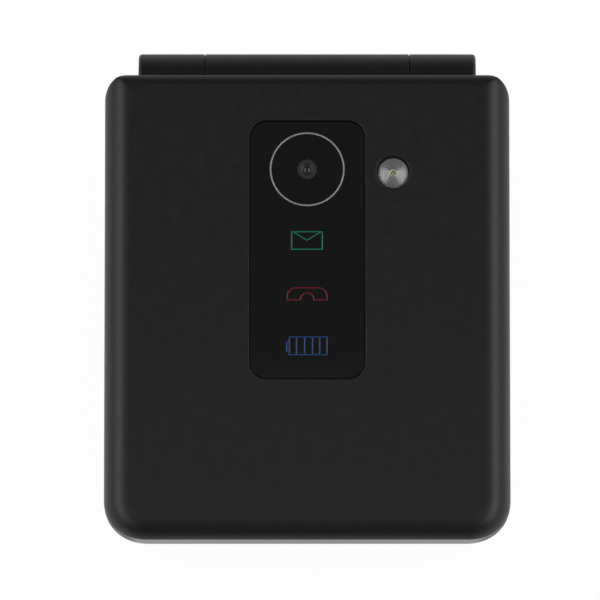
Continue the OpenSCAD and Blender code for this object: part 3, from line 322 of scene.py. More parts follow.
def makeWear():
    # mask = (1 - rounded normal . normal) * gain, broken up by noise: high only along sharp edges
    group, given, out = newGroup("edgeWear",
                                 [("Radius mm", "NodeSocketFloat", 0.25), ("Gain", "NodeSocketFloat", 6.0)],
                                 [("Mask", "NodeSocketFloat")])
    radius = calc(group, "MULTIPLY", given.outputs["Radius mm"], mm)
    rounded = addNode(group, "ShaderNodeBevel", {"Radius": radius}, samples=4)
    plain = addNode(group, "ShaderNodeNewGeometry").outputs["Normal"]
    same = addNode(group, "ShaderNodeVectorMath", {0: rounded.outputs[0], 1: plain}, operation="DOT_PRODUCT")
    edge = calc(group, "MULTIPLY", calc(group, "SUBTRACT", 1.0, same.outputs["Value"]), given.outputs["Gain"])
    place = addNode(group, "ShaderNodeTexCoord").outputs["Object"]
    patch = addNode(group, "ShaderNodeTexNoise", {"Vector": place, "Scale": effectSet["wearPatches"],
                                                  "Detail": 4.0})
    broken = mapRange(group, patch.outputs[0], *effectSet["wearBroken"])
    group.links.new(calc(group, "MULTIPLY", edge, broken, clamp=True), out.inputs["Mask"])
    return group


def makeDust():
    # mask = 1 inside a few small cells, each with its own size, on faces that look up
    group, given, out = newGroup("dustSpecks",
                                 [("Spacing mm", "NodeSocketFloat", 4.0), ("Share", "NodeSocketFloat", 0.3)],
                                 [("Mask", "NodeSocketFloat")])
    coords = addNode(group, "ShaderNodeTexCoord")
    perCell = calc(group, "DIVIDE", 1 / mm, given.outputs["Spacing mm"])
    cells = addNode(group, "ShaderNodeVectorMath", {0: coords.outputs["Object"], "Scale": perCell},
                    operation="SCALE")
    spots = addNode(group, "ShaderNodeTexVoronoi", {"Vector": cells.outputs[0], "Scale": 1.0})
    chance = addNode(group, "ShaderNodeSeparateColor", {0: spots.outputs["Color"]})
    chosen = calc(group, "LESS_THAN", chance.outputs[0], given.outputs["Share"])
    reach = calc(group, "MULTIPLY", chance.outputs[1], effectSet["speckR"])
    inside = calc(group, "LESS_THAN", spots.outputs["Distance"], reach)
    upward = addNode(group, "ShaderNodeSeparateXYZ", {0: coords.outputs["Normal"]}).outputs[2]
    facing = mapRange(group, upward, *effectSet["speckFacing"])
    mask = calc(group, "MULTIPLY", calc(group, "MULTIPLY", chosen, inside), facing)
    group.links.new(mask, out.inputs["Mask"])
    return group


def makeBrush():
    # lines drawn out along one direction: noise of coordinates squeezed by the three stretch values
    group, given, out = newGroup("brushLines",
                                 [("Stretch", "NodeSocketVector", (400, 9000, 9000)),
                                  ("Depth mm", "NodeSocketFloat", 0.002)],
                                 [("Height", "NodeSocketFloat"), ("Tone", "NodeSocketFloat")])
    place = addNode(group, "ShaderNodeTexCoord").outputs["Object"]
    drawn = addNode(group, "ShaderNodeVectorMath", {0: place, 1: given.outputs["Stretch"]},
                    operation="MULTIPLY")
    lines = addNode(group, "ShaderNodeTexNoise", {"Vector": drawn.outputs[0], "Scale": 1.0, "Detail": 3.0})
    height = calc(group, "MULTIPLY", lines.outputs[0], calc(group, "MULTIPLY", given.outputs["Depth mm"], mm))
    group.links.new(height, out.inputs["Height"])
    group.links.new(lines.outputs[0], out.inputs["Tone"])
    return group


fineGrain = makeGrain()
edgeWear = makeWear()
dustSpecks = makeDust()
brushLines = makeBrush()
print("effects done")


# finishes
class Paint:
    # one material under construction: its tree, its principled shader, and the colour and height so far
    def __init__(self, name):
        self.material = bpy.data.materials.new(name)
        self.material.use_nodes = True
        self.tree = self.material.node_tree
        self.shader = self.tree.nodes["Principled BSDF"]
        self.height = None
        self.colour = None
        self.normal = None

    def group(self, group, inputs):
        # an effect placed here with its own values
        node = addNode(self.tree, "ShaderNodeGroup", node_tree=group)
        for label, value in inputs.items():
            node.inputs[label].default_value = value
        return node

    def lift(self, height):
        # height so far + this height
        self.height = height if self.height is None else calc(self.tree, "ADD", self.height, height)

    def cover(self, share, colour):
        # colour so far * (1 - share) + this colour * share
        self.colour = mixColour(self.tree, share, self.colour, colour)

    def finish(self):
        # colour to the shader, height through one bump
        self.tree.links.new(self.colour, self.shader.inputs["Base Color"])
        bump = addNode(self.tree, "ShaderNodeBump", {"Strength": 1.0, "Distance": 1.0, "Height": self.height})
        if self.normal is not None:
            self.tree.links.new(self.normal, bump.inputs["Normal"])
        self.tree.links.new(bump.outputs[0], self.shader.inputs["Normal"])
        return self.material


def grey(level):
    # (level, level, 1.02 * level): a trace of blue
    return (level, level, level * 1.02, 1)


# what a finish has where its look doesn't say; lengths of grain, lines, wear, dust and edges in mm
plainLook = {
    "metal": 0.0,
    "ior": 1.5,
    "coat": 0.0,
    "coatRough": 0.05,
    "rough": 0.4,
    "roughSwing": 0.05,
    "swing": 0.12,            # share by which the colour darkens
    "grain": 0.2,
    "depth": 0.003,
    "toneRange": (0.3, 0.7),
    "lineDepth": 0.002,
    "wear": 0.0,
    "wearRadius": 0.25,
    "dust": 0.0,
    "dustSpacing": 4.0,
    "dustCover": 0.25,
    "dustColour": (0.35, 0.34, 0.32, 1),
    "endFacing": (-0.99, -0.93),
}


def roundEdges(paint, look, place):
    # edge radius: round along the edges, cornerRound at the rear corners, barrelShare of it on the barrel;
    # and painted shade in the joints between the knuckles: black without gloss, where | |x| - jointX | is
    # small
    tree = paint.tree
    across = calc(tree, "ABSOLUTE", place.outputs[0])
    x, y = look["cornerFrom"]
    over = look["cornerOver"]
    corner = calc(tree, "MULTIPLY", mapRange(tree, across, x * mm, (x + over) * mm),
                  mapRange(tree, place.outputs[1], y * mm, (y + over) * mm))
    radius = mapRange(tree, corner, 0.0, 1.0, look["round"] * mm, look["cornerRound"] * mm)
    barrel = calc(tree, "GREATER_THAN", place.outputs[1], look["barrelFrom"] * mm)
    radius = calc(tree, "MULTIPLY", radius, mapRange(tree, barrel, 0.0, 1.0, 1.0, look["barrelShare"]))
    paint.normal = addNode(tree, "ShaderNodeBevel", {"Radius": radius}, samples=8).outputs[0]
    # painted shade: near-black colour in the joints, made metallic so that no gloss shows there
    near, far = look["jointHalf"]
    joint = calc(tree, "ABSOLUTE", calc(tree, "SUBTRACT", across, look["jointX"] * mm))
    joint = mapRange(tree, joint, near * mm, far * mm, look["jointShadeShare"], 0.0)
    joint = calc(tree, "MULTIPLY", barrel, joint)
    paint.cover(joint, look["jointShadeColour"])
    tree.links.new(joint, paint.shader.inputs["Metallic"])


def startPaint(name, ownLook):
    # colour = base * (1 - swing .. 1) and roughness = rough -+ roughSwing, both by slow noise; then rounded
    # edges with painted shade in the knuckle joints, edge wear and dust where the look has them
    look = dict(plainLook, **ownLook)
    paint = Paint(name)
    tree, shader = paint.tree, paint.shader
    base = look["colour"]
    grain = paint.group(fineGrain, {"Size mm": look["grain"], "Depth mm": look["depth"]})
    tone = mapRange(tree, grain.outputs["Tone"], *look["toneRange"])
    darker = tuple(part * (1 - look["swing"]) for part in base[:3]) + (1,)
    paint.colour = mixColour(tree, tone, darker, base)
    paint.lift(grain.outputs["Height"])
    if "stretch" in look:
        lines = paint.group(brushLines, {"Stretch": look["stretch"], "Depth mm": look["lineDepth"]})
        paint.lift(lines.outputs["Height"])
        tone = mapRange(tree, lines.outputs["Tone"], *look["toneRange"])
    rough, spread = look["rough"], look["roughSwing"]
    level = mapRange(tree, tone, 0.0, 1.0, rough - spread, rough + spread)
    coords = addNode(tree, "ShaderNodeTexCoord")
    if "endRough" in look:
        # faces that look along -y, at the free end
        facing = addNode(tree, "ShaderNodeSeparateXYZ", {0: coords.outputs["Normal"]}).outputs[1]
        level = mixValue(tree, mapRange(tree, facing, *look["endFacing"], 1.0, 0.0), level, look["endRough"])
    tree.links.new(level, shader.inputs["Roughness"])
    if "round" in look:
        roundEdges(paint, look, addNode(tree, "ShaderNodeSeparateXYZ", {0: coords.outputs["Object"]}))
    if look["wear"]:
        edge = paint.group(edgeWear, {"Radius mm": look["wearRadius"], "Gain": look["wear"]})
        twice = tuple(part * 2 for part in base[:3]) + (1,)
        paint.cover(edge.outputs["Mask"], look.get("wearColour", twice))
    if look["dust"]:
        specks = paint.group(dustSpecks, {"Spacing mm": look["dustSpacing"], "Share": look["dust"]})
        paint.cover(calc(tree, "MULTIPLY", specks.outputs["Mask"], look["dustCover"]), look["dustColour"])
    if not shader.inputs["Metallic"].is_linked:
        shader.inputs["Metallic"].default_value = look["metal"]
    shader.inputs["IOR"].default_value = look["ior"]
    shader.inputs["Coat Weight"].default_value = look["coat"]
    shader.inputs["Coat Roughness"].default_value = look["coatRough"]
    return paint


# one look for each slot; a value without * mm follows plainLook's units
looks = {
    "soft_touch": {"colour": grey(0.0038), "rough": 0.40, "roughSwing": 0.03, "grain": 0.16, "depth": 0.0035,
                   "round": 0.18, "cornerRound": 1.5, "cornerFrom": (23.5, 25.5), "cornerOver": 3.0,
                   # the joint values paint shade into the joints between the knuckles on the barrel
                   "barrelFrom": 33.9, "barrelShare": 0.2, "jointX": 15.69, "jointHalf": (0.07, 0.13),
                   "jointShadeShare": 0.9, "jointShadeColour": grey(0.0005), "endRough": 0.22,
                   "wear": 3.0, "wearColour": grey(0.012), "dust": 0.16, "dustSpacing": 5.0},
    "smoked_gloss": {"colour": grey(0.0022), "rough": 0.10, "roughSwing": 0.02, "grain": 2.0, "depth": 0.002},
    "ring_metal": {"colour": (0.27, 0.272, 0.275, 1), "metal": 0.3, "rough": 0.42, "grain": 0.12},
    "dark_glass": {"colour": (0.016, 0.016, 0.0165, 1), "rough": 0.40, "roughSwing": 0.01, "depth": 0.0,
                   "beadR": 0.50 * mm, "beadSoft": 0.03 * mm, "beadRough": 0.07},
    "black_plastic": {"colour": grey(0.012), "rough": 0.46, "grain": 0.22, "depth": 0.006, "endRough": 0.20,
                      "ior": 1.56, "wear": 4.0, "wearColour": grey(0.03), "dust": 0.1},
    "chrome_cup": {"colour": (0.78, 0.78, 0.77, 1), "metal": 1.0, "rough": 0.24, "grain": 0.3},
    "led_yellow": {"colour": (0.26, 0.27, 0.14, 1), "rough": 0.35, "grain": 0.05, "depth": 0.004},
    "light_guide": {"colour": (0.75, 0.78, 0.80, 1), "rough": 0.2, "grain": 0.5},
    "display_metal": {"colour": (0.52, 0.52, 0.53, 1), "metal": 1.0, "rough": 0.36,
                      "stretch": (500, 9000, 9000), "wear": 3.0},
    "mesh_metal": {"colour": (0.50, 0.50, 0.52, 1), "metal": 1.0, "rough": 0.32, "stretch": (9000, 700, 9000),
                   "holesPerMetre": 2600, "holeR": (0.26, 0.33), "holeDepth": 0.05 * mm,
                   "holeShadeColour": grey(0.002), "facing": (0.7, 0.9)},
    "bumper_rubber": {"colour": grey(0.02), "rough": 0.75, "grain": 0.1, "depth": 0.008, "dust": 0.6,
                      "dustSpacing": 0.8},
    "screw_steel": {"colour": (0.20, 0.20, 0.21, 1), "metal": 1.0, "rough": 0.38, "grain": 0.12,
                    "depth": 0.004, "wear": 5.0, "wearColour": (0.5, 0.5, 0.5, 1), "headR": 1.35 * mm,
                    "barHalf": (0.12 * mm, 0.2 * mm), "barReach": (0.6 * mm, 0.75 * mm),
                    "barDepth": 0.2 * mm, "barShadeColour": grey(0.006), "facing": (0.8, 0.95)},
    "hinge_steel": {"colour": (0.50, 0.49, 0.47, 1), "metal": 1.0, "rough": 0.30,
                    "stretch": (9000, 900, 900), "wear": 4.0},
    "flex_amber": {"colour": (0.42, 0.17, 0.03, 1), "rough": 0.25, "grain": 0.4, "coat": 0.5},
    "contact_gold": {"colour": (0.75, 0.50, 0.16, 1), "metal": 1.0, "rough": 0.22, "grain": 0.1},
    "dome_film": {"colour": (0.55, 0.54, 0.48, 1), "rough": 0.45, "grain": 0.6},
    "key_plastic": {"colour": grey(0.022), "rough": 0.34, "roughSwing": 0.04, "grain": 0.18,
                    "wear": 5.0, "wearColour": grey(0.05), "dust": 0.1},
    "nav_metal": {"colour": (0.10, 0.10, 0.105, 1), "metal": 0.6, "rough": 0.30, "grain": 0.12,
                  "depth": 0.002, "stretch": (900, 9000, 9000), "lineDepth": 0.001, "wear": 5.0,
                  "wearColour": grey(0.3)},
    "board": {"colour": (0.008, 0.075, 0.035, 1), "rough": 0.28, "grain": 0.6, "depth": 0.004, "coat": 0.4,
              "traceScale": 260.0, "traceSize": (1.7, 0.22), "traceGap": 0.03, "traceShare": 0.8,
              "traceColour": (0.02, 0.16, 0.075, 1), "padScale": 420.0, "padR": 0.17,
              "padColour": (0.60, 0.46, 0.20, 1)},
    "battery_wrap": {"colour": (0.42, 0.43, 0.45, 1), "rough": 0.42, "grain": 0.5, "printHalf": 15.2 * mm,
                     "stripes": ((14 * mm, 2.2 * mm, (0.05, 0.11, 0.24, 1)),
                                 (-17 * mm, 1.0 * mm, grey(0.06))),
                     "labelY": -2 * mm, "labelHalf": (13 * mm, 8 * mm), "labelColour": grey(0.62)},
    "display_glass": {"colour": grey(0.004), "rough": 0.05, "roughSwing": 0.015, "grain": 3.0, "depth": 0.001,
                      "coat": 0.3, "dust": 0.15, "screenHalf": (18.2 * mm, 24.3 * mm),
                      "screenColour": (0.010, 0.011, 0.013, 1)},
    "clear_glass": {"colour": (0.36, 0.36, 0.365, 1), "metal": 0.62, "rough": 0.28, "grain": 0.28,
                    "depth": 0.010, "swing": 0.25, "cover": 0.78, "rimShare": 0.8, "rimIor": 1.49,
                    "through": (0.93, 0.94, 0.95, 1)},
}


def boxMask(tree, centre, half, soft=0.05 * mm):
    # 1 inside a rectangle given in x and y, 0 outside, over a soft border
    place = addNode(tree, "ShaderNodeSeparateXYZ", {0: addNode(tree, "ShaderNodeTexCoord").outputs["Object"]})
    mask = None
    for axis in (0, 1):
        away = calc(tree, "ABSOLUTE", calc(tree, "SUBTRACT", place.outputs[axis], float(centre[axis])))
        inside = mapRange(tree, away, half[axis] - soft, half[axis] + soft, 1.0, 0.0)
        mask = inside if mask is None else calc(tree, "MULTIPLY", mask, inside)
    return mask


def paintBoard(look):
    # traces = the gaps between rows of long bricks; pads = within padR of the middles of round cells
    paint = startPaint("board", look)
    tree = paint.tree
    place = addNode(tree, "ShaderNodeTexCoord").outputs["Object"]
    length, pitch = look["traceSize"]
    rows = addNode(tree, "ShaderNodeTexBrick", {"Vector": place, "Scale": look["traceScale"],
                                               "Mortar Size": look["traceGap"], "Brick Width": length,
                                               "Row Height": pitch})
    paint.cover(calc(tree, "MULTIPLY", rows.outputs["Fac"], look["traceShare"]), look["traceColour"])
    pads = addNode(tree, "ShaderNodeTexVoronoi", {"Vector": place, "Scale": look["padScale"]})
    paint.cover(calc(tree, "LESS_THAN", pads.outputs["Distance"], look["padR"]), look["padColour"])
    return paint.finish()


def paintBattery(look):
    # plain film with two darker stripes and a pale box across the pack
    paint = startPaint("battery_wrap", look)
    x, y = nodeCentre("battery")[:2]
    for shift, half, colour in look["stripes"]:
        paint.cover(boxMask(paint.tree, (x, y + shift), (look["printHalf"], half)), colour)
    paint.cover(boxMask(paint.tree, (x, y + look["labelY"]), look["labelHalf"]), look["labelColour"])
    return paint.finish()


def paintDisplay(look):
    # the lit area of the screen is a shade lighter and bluer than its black border
    paint = startPaint("display_glass", look)
    screen = boxMask(paint.tree, nodeCentre("display_window"), look["screenHalf"])
    paint.cover(screen, look["screenColour"])
    return paint.finish()


def paintLens(look):
    # glossy only on the small front element: roughness falls within beadR of the middle
    paint = startPaint("dark_glass", look)
    tree = paint.tree
    middle = nodeCentre("camera_lens")
    place = addNode(tree, "ShaderNodeTexCoord").outputs["Object"]
    flat = addNode(tree, "ShaderNodeVectorMath", {0: place, 1: (1, 1, 0)}, operation="MULTIPLY")
    away = addNode(tree, "ShaderNodeVectorMath", {0: flat.outputs[0], 1: (middle[0], middle[1], 0)},
                   operation="DISTANCE").outputs["Value"]
    level = mapRange(tree, away, look["beadR"], look["beadR"] + look["beadSoft"], look["beadRough"],
                     look["rough"])
    tree.links.new(level, paint.shader.inputs["Roughness"])
    return paint.finish()


def paintMesh(look):
    # rows of round holes on the flat faces, painted dark as the shade inside them and sunk by a bump: hole
    # where the distance to the middle of its cell is under holeR, on a grid turned by 45 degrees
    paint = startPaint("mesh_metal", look)
    tree = paint.tree
    coords = addNode(tree, "ShaderNodeTexCoord")
    size = look["holesPerMetre"]
    slanted = addNode(tree, "ShaderNodeMapping", {"Vector": coords.outputs["Object"],
                                                  "Rotation": (0, 0, math.radians(45)),
                                                  "Scale": (size, size, 0)})
    cell = addNode(tree, "ShaderNodeVectorMath", {0: slanted.outputs[0]}, operation="FRACTION")
    away = addNode(tree, "ShaderNodeVectorMath", {0: cell.outputs[0], 1: (0.5, 0.5, 0.0)},
                   operation="DISTANCE").outputs["Value"]
    hole = mapRange(tree, away, *look["holeR"], 1.0, 0.0)
    facing = addNode(tree, "ShaderNodeSeparateXYZ", {0: coords.outputs["Normal"]})
    flat = mapRange(tree, calc(tree, "ABSOLUTE", facing.outputs[2]), *look["facing"])
    hole = calc(tree, "MULTIPLY", hole, flat)
    # painted shade: the holes are coloured near-black
    paint.cover(hole, look["holeShadeColour"])
    paint.lift(calc(tree, "MULTIPLY", hole, -look["holeDepth"]))
    return paint.finish()


def paintScrew(look):
    # cross recess: a plus of two bars round each screw's axis, painted dark as the shade inside it and sunk,
    # on the faces across the axis
    paint = startPaint("screw_steel", look)
    tree = paint.tree
    coords = addNode(tree, "ShaderNodeTexCoord")
    place = addNode(tree, "ShaderNodeSeparateXYZ", {0: coords.outputs["Object"]})
    facing = addNode(tree, "ShaderNodeSeparateXYZ", {0: coords.outputs["Normal"]})
    flat = mapRange(tree, calc(tree, "ABSOLUTE", facing.outputs[2]), *look["facing"])
    for name in ("base_screws", "lid_screws"):
        low, high = nodeBox(name)
        screwX = float(high[0]) - look["headR"]
        acrossX = calc(tree, "SUBTRACT", calc(tree, "ABSOLUTE", place.outputs[0]), screwX)
        acrossX = calc(tree, "ABSOLUTE", acrossX)
        for screwY in (float(low[1]) + look["headR"], float(high[1]) - look["headR"]):
            acrossY = calc(tree, "ABSOLUTE", calc(tree, "SUBTRACT", place.outputs[1], screwY))
            nearer = calc(tree, "MINIMUM", acrossX, acrossY)
            farther = calc(tree, "MAXIMUM", acrossX, acrossY)
            bar = calc(tree, "MULTIPLY", mapRange(tree, nearer, *look["barHalf"], 1.0, 0.0),
                       mapRange(tree, farther, *look["barReach"], 1.0, 0.0))
            bar = calc(tree, "MULTIPLY", bar, flat)
            # painted shade: the recess is coloured near-black
            paint.cover(bar, look["barShadeColour"])
            paint.lift(calc(tree, "MULTIPLY", bar, -look["barDepth"]))
    return paint.finish()


def paintClear(look):
    # partly see-through: share of the glossy shader = cover + rimShare * fresnel
    paint = startPaint("clear_glass", look)
    material = paint.finish()
    tree = paint.tree
    through = addNode(tree, "ShaderNodeBsdfTransparent", {"Color": look["through"]})
    rim = addNode(tree, "ShaderNodeFresnel", {"IOR": look["rimIor"]})
    rim = calc(tree, "MULTIPLY", rim.outputs[0], look["rimShare"])
    share = calc(tree, "ADD", rim, look["cover"], clamp=True)
    mix = addNode(tree, "ShaderNodeMixShader", {0: share, 1: through.outputs[0], 2: paint.shader.outputs[0]})
    tree.links.new(mix.outputs[0], tree.nodes["Material Output"].inputs["Surface"])
    return material


# finishes with a print, a pattern or a see-through of their own
ownWay = {"board": paintBoard, "battery_wrap": paintBattery, "display_glass": paintDisplay,
          "dark_glass": paintLens, "mesh_metal": paintMesh, "screw_steel": paintScrew,
          "clear_glass": paintClear}
materialOf = {}
for slotName, slotLook in looks.items():
    if slotName in ownWay:
        materialOf[slotName] = ownWay[slotName](slotLook)
    else:
        materialOf[slotName] = startPaint(slotName, slotLook).finish()

for entry in frame["record"]["subparts"]:
    item = nodeObjects[entry["node"]]
    item.data.materials.clear()
    item.data.materials.append(materialOf[entry["material_slot"]])
print("finishes done")


# printed and moulded lines
def arc(cx, cy, rx, ry, start, end, steps=24):
    # points (cx + rx cos t, cy + ry sin t) for t from start to end in degrees
    t = np.radians(np.linspace(start, end, steps))
    return np.stack((cx + rx * np.cos(t), cy + ry * np.sin(t)), 1)


def joined(*parts):
    # polylines one after another
    return np.concatenate([np.asarray(part, float) for part in parts])


def resampled(points, closed, step):
    # extra points along each leg so that no leg is longer than step
    ring = np.vstack((points, points[:1])) if closed else points
    legs = np.diff(ring, axis=0)
    counts = np.maximum(1, np.ceil(np.linalg.norm(legs, axis=1) / step)).astype(int)
    starts = np.repeat(ring[:-1], counts, axis=0)
    ramps = np.concatenate([np.arange(count) / count for count in counts])[:, None]
    filled = starts + np.repeat(legs, counts, axis=0) * ramps
    return filled if closed else np.vstack((filled, ring[-1:]))


# section and ends of every raised line
ribbonSet = {
    "shoulder": 0.82,         # where a line's top turns down, as a share of half its width
    "crest": 1.15,            # height of its middle, as a share of the lift
    "capLength": 0.15,        # of the sloped ends, as a share of the width
    "sharpest": 0.6,          # limit on how far a mitre reaches out
}


def ribbonGrid(points, closed, values, crown):
    # across the line u = -1..1: offset = width / 2 * u * mitre, height = crown + lift and crown - sink at the
    # rims; open lines end in a short slope
    points = resampled(np.asarray(points, float), closed, values["step"])
    if not closed:
        ends = points[[1, -2]] - points[[0, -1]]
        ends *= ribbonSet["capLength"] * values["width"] / np.linalg.norm(ends, axis=1)[:, None]
        points = np.vstack((points[:1], points[:1] + ends[:1], points[1:-1], points[-1:] + ends[1:],
                            points[-1:]))
    if closed:
        before, after = points - np.roll(points, 1, 0), np.roll(points, -1, 0) - points
    else:
        legs = np.diff(points, axis=0)
        before, after = np.vstack((legs[:1], legs)), np.vstack((legs, legs[-1:]))
    before /= np.linalg.norm(before, axis=1)[:, None]
    after /= np.linalg.norm(after, axis=1)[:, None]
    normals = np.stack((-(before + after)[:, 1], (before + after)[:, 0]), 1)
    square = np.maximum((normals ** 2).sum(1), ribbonSet["sharpest"])[:, None]
    mitre = 2 * normals / square
    across = np.array([-1.0, -ribbonSet["shoulder"], 0.0, ribbonSet["shoulder"], 1.0])
    flat = points[:, None, :] + mitre[:, None, :] * across[None, :, None] * values["width"] / 2
    lift, sink = values["lift"], values["sink"]
    rise = np.array([-sink, lift, lift * ribbonSet["crest"], lift, -sink])
    height = crown(flat[..., 0], flat[..., 1]) + rise[None, :]
    if not closed:
        height[[0, -1]] -= lift + sink
    return np.concatenate((flat, height[..., None]), 2)


def gridFaces(rows, columns, closedRows, start=0):
    # quads between neighbouring rows and columns of a grid of points
    row = np.arange(rows if closedRows else rows - 1)
    column = np.arange(columns - 1)
    a = row[:, None] * columns + column[None, :]
    b = ((row + 1) % rows)[:, None] * columns + column[None, :]
    return np.stack((a, a + 1, b + 1, b), 2).reshape(-1, 4) + start


def meshObject(name, points, faces, material, body, smooth=True):
    # an object whose mesh is given by arrays, riding on that body
    mesh = bpy.data.meshes.new(name)
    mesh.from_pydata(points, [], faces)
    mesh.polygons.foreach_set("use_smooth", np.full(len(mesh.polygons), smooth))
    mesh.validate()
    mesh.materials.append(material)
    made = bpy.data.objects.new(name, mesh)
    scene.collection.objects.link(made)
    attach(made, body)
    return made


def flatCrown(x, y):
    # height 0 everywhere
    return np.zeros_like(x)


def drawLines(name, paths, values, origin, axes, material, body, crown=flatCrown):
    # each path becomes a low ribbon; its point (u, v, w) lies at origin + the sum of u, v, w times the axes
    points, faces, start = [], [], 0
    for path, closed in paths:
        grid = ribbonGrid(path, closed, values, crown)
        faces.append(gridFaces(grid.shape[0], grid.shape[1], closed, start))
        points.append(grid.reshape(-1, 3))
        start += grid.shape[0] * grid.shape[1]
    local = np.concatenate(points)
    world = np.asarray(origin) + local @ np.asarray(axes, float)
    return meshObject(name, world, np.concatenate(faces).tolist(), material, body)


inkLook = {"rough": 0.45, "grain": 0.08, "depth": 0.002, "swing": 0.2}
flatAxes = ((1, 0, 0), (0, 1, 0), (0, 0, 1))


def printInk(name, colour, rough=inkLook["rough"]):
    # ink: its own colour, a little uneven
    return startPaint(name, dict(inkLook, colour=colour, rough=rough)).finish()


# signs on the lid's panel; their outlines in mm from its middle
signSet = {
    "width": 0.20 * mm,
    "lift": 0.006 * mm,
    "sink": 0.02 * mm,
    "step": 0.5 * mm,
    "inkRough": 0.12,
    "green": (0.002, 0.140, 0.088, 1),
    "red": (0.130, 0.004, 0.013, 1),
    "blue": (0.011, 0.044, 0.160, 1),
    "envelope": {"middle": (-0.04, 1.41), "half": (2.34, 1.35), "flapHalf": 2.1, "flapY": 1.45},
    "handset": {"middle": (-0.02, -7.76), "half": 3.02, "rise": 1.85, "innerR": 1.04, "archHigh": 1.10,
                "shoulder": 1.25},
    "battery": {"left": -2.72, "right": 3.02, "low": -16.22, "high": -13.49, "tip": -3.13,
                "tipLow": -15.68, "tipHigh": -14.2, "bars": (-1.64, -0.40, 0.81, 1.91)},
}


def rectangle(left, low, right, high):
    # its four corners, counter-clockwise
    return np.array([(left, low), (right, low), (right, high), (left, high)], float)


def envelopePaths(values):
    # middle +- half, and the flap's two slopes from the upper edge to flapY
    x, y = values["middle"]
    w, h = values["half"]
    flap = np.array([(x - values["flapHalf"], y + h), (x, values["flapY"]), (x + values["flapHalf"], y + h)])
    return [(rectangle(x - w, y - h, x + w, y + h) * mm, True), (flap * mm, False)]


def handsetOutline(values):
    # flat top with round shoulders, closed feet, and a round arch between them
    x, y = values["middle"]
    w, h, r, s = values["half"], values["rise"], values["innerR"], values["shoulder"]
    return joined([(x + r, y), (x + w, y)], arc(x + w - s, y + h - s, s, s, 0, 90, 12),
                  arc(x - w + s, y + h - s, s, s, 90, 180, 12), [(x - w, y), (x - r, y)],
                  arc(x, y, r, values["archHigh"], 180, 0, 20)[1:-1])


def batteryPaths(values):
    # body, the tip against its left side, and upright bars
    body = rectangle(values["left"], values["low"], values["right"], values["high"]) * mm
    tip = np.array([(values["left"], values["tipHigh"]), (values["tip"], values["tipHigh"]),
                    (values["tip"], values["tipLow"]), (values["left"], values["tipLow"])]) * mm
    bars = [(np.array([(x, values["low"]), (x, values["high"])]) * mm, False) for x in values["bars"]]
    return [(body, True), (tip, False)] + bars


panelSigns = {"envelope": ("green", envelopePaths(signSet["envelope"])),
              "handset": ("red", [(handsetOutline(signSet["handset"]) * mm, True)]),
              "battery": ("blue", batteryPaths(signSet["battery"]))}
for signName, (inkName, paths) in panelSigns.items():
    signInk = printInk("ink_" + inkName, signSet[inkName], signSet["inkRough"])
    drawLines("sign_" + signName, paths, signSet, topMiddle("lid_window"), flatAxes, signInk, "lid")
print("lid signs done")

# figures and signs on the keys
keySet = {
    "crownR": 60 * mm,
    "figureHigh": 3.3 * mm,
    "width": 0.42 * mm,
    "lift": 0.012 * mm,
    "sink": 0.03 * mm,
    "step": 0.25 * mm,
    "ink": (0.62, 0.63, 0.64, 1),
    "callInk": (0.03, 0.42, 0.12, 1),
    "endInk": (0.52, 0.035, 0.03, 1),
    "signWidth": 0.34 * mm,
    "sideX": 16.2 * mm,       # of the four keys beside the ring, from its middle
    "sideY": 4.85 * mm,
    "dashHalf": 1.5 * mm,
    "handset": {"middle": (0, -0.75), "half": 2.2, "rise": 1.6, "innerR": 0.85, "archHigh": 0.98,
                "shoulder": 0.95},
    "lean": 125,              # of the handset on the call key, in degrees
    "okR": 1.1 * mm,
    "okCrownR": 14 * mm,
}
# strokes one unit high, from the figure's middle
figures = {
    "key_0": [(arc(0, 0, 0.27, 0.5, 0, 345), True)],
    "key_1": [(np.array([(-0.17, 0.28), (0.07, 0.5), (0.07, -0.5)]), False)],
    "key_2": [(joined(arc(0, 0.23, 0.27, 0.27, 165, -28), [(-0.28, -0.5), (0.29, -0.5)]), False)],
    "key_3": [(joined(arc(0, 0.25, 0.24, 0.25, 150, -80), arc(0, -0.23, 0.28, 0.27, 75, -150)), False)],
    "key_4": [(np.array([(0.12, -0.5), (0.12, 0.5), (-0.3, -0.18), (0.3, -0.18)]), False)],
    "key_5": [(joined([(0.25, 0.5), (-0.2, 0.5), (-0.23, 0.03)], arc(0, -0.18, 0.28, 0.32, 125, -145)),
               False)],
    "key_6": [(arc(0.28, -0.2, 0.56, 0.7, 100, 180), False), (arc(0, -0.2, 0.28, 0.3, 0, 345), True)],
    "key_7": [(np.array([(-0.28, 0.5), (0.28, 0.5), (-0.08, -0.5)]), False)],
    "key_8": [(arc(0, 0.26, 0.22, 0.24, 0, 345), True), (arc(0, -0.24, 0.28, 0.26, 0, 345), True)],
    "key_9": [(arc(-0.28, 0.2, 0.56, 0.7, -80, 0), False), (arc(0, 0.2, 0.28, 0.3, 0, 345), True)],
    "key_star": [(np.array([(math.cos(a), math.sin(a)), (-math.cos(a), -math.sin(a))]) * 0.3, False)
                 for a in (math.pi / 2, math.pi / 6, -math.pi / 6)],
    "key_hash": [(np.array(line), False)
                 for line in (((-0.2, -0.36), (-0.08, 0.36)), ((0.08, -0.36), (0.2, 0.36)),
                              ((-0.32, 0.13), (0.32, 0.13)), ((-0.32, -0.13), (0.32, -0.13)))],
}


def keyCrown(x, y):
    # the key's top is a cylinder about a line along y: drop = R - sqrt(R^2 - x^2)
    radius = keySet["crownR"]
    return np.sqrt(radius ** 2 - x ** 2) - radius


def turnedBy(points, degrees):
    # (x, y) turned about the origin, counted from +x to +y
    c, s = math.cos(math.radians(degrees)), math.sin(math.radians(degrees))
    return points @ np.array([(c, s), (-s, c)])


whiteInk = printInk("ink_white", keySet["ink"])
callInk = printInk("ink_call", keySet["callInk"])
endInk = printInk("ink_end", keySet["endInk"])
for keyName, strokes in figures.items():
    scaled = [(path * keySet["figureHigh"], closed) for path, closed in strokes]
    drawLines("figure_" + keyName, scaled, keySet, topMiddle(keyName), flatAxes, whiteInk, keyName, keyCrown)

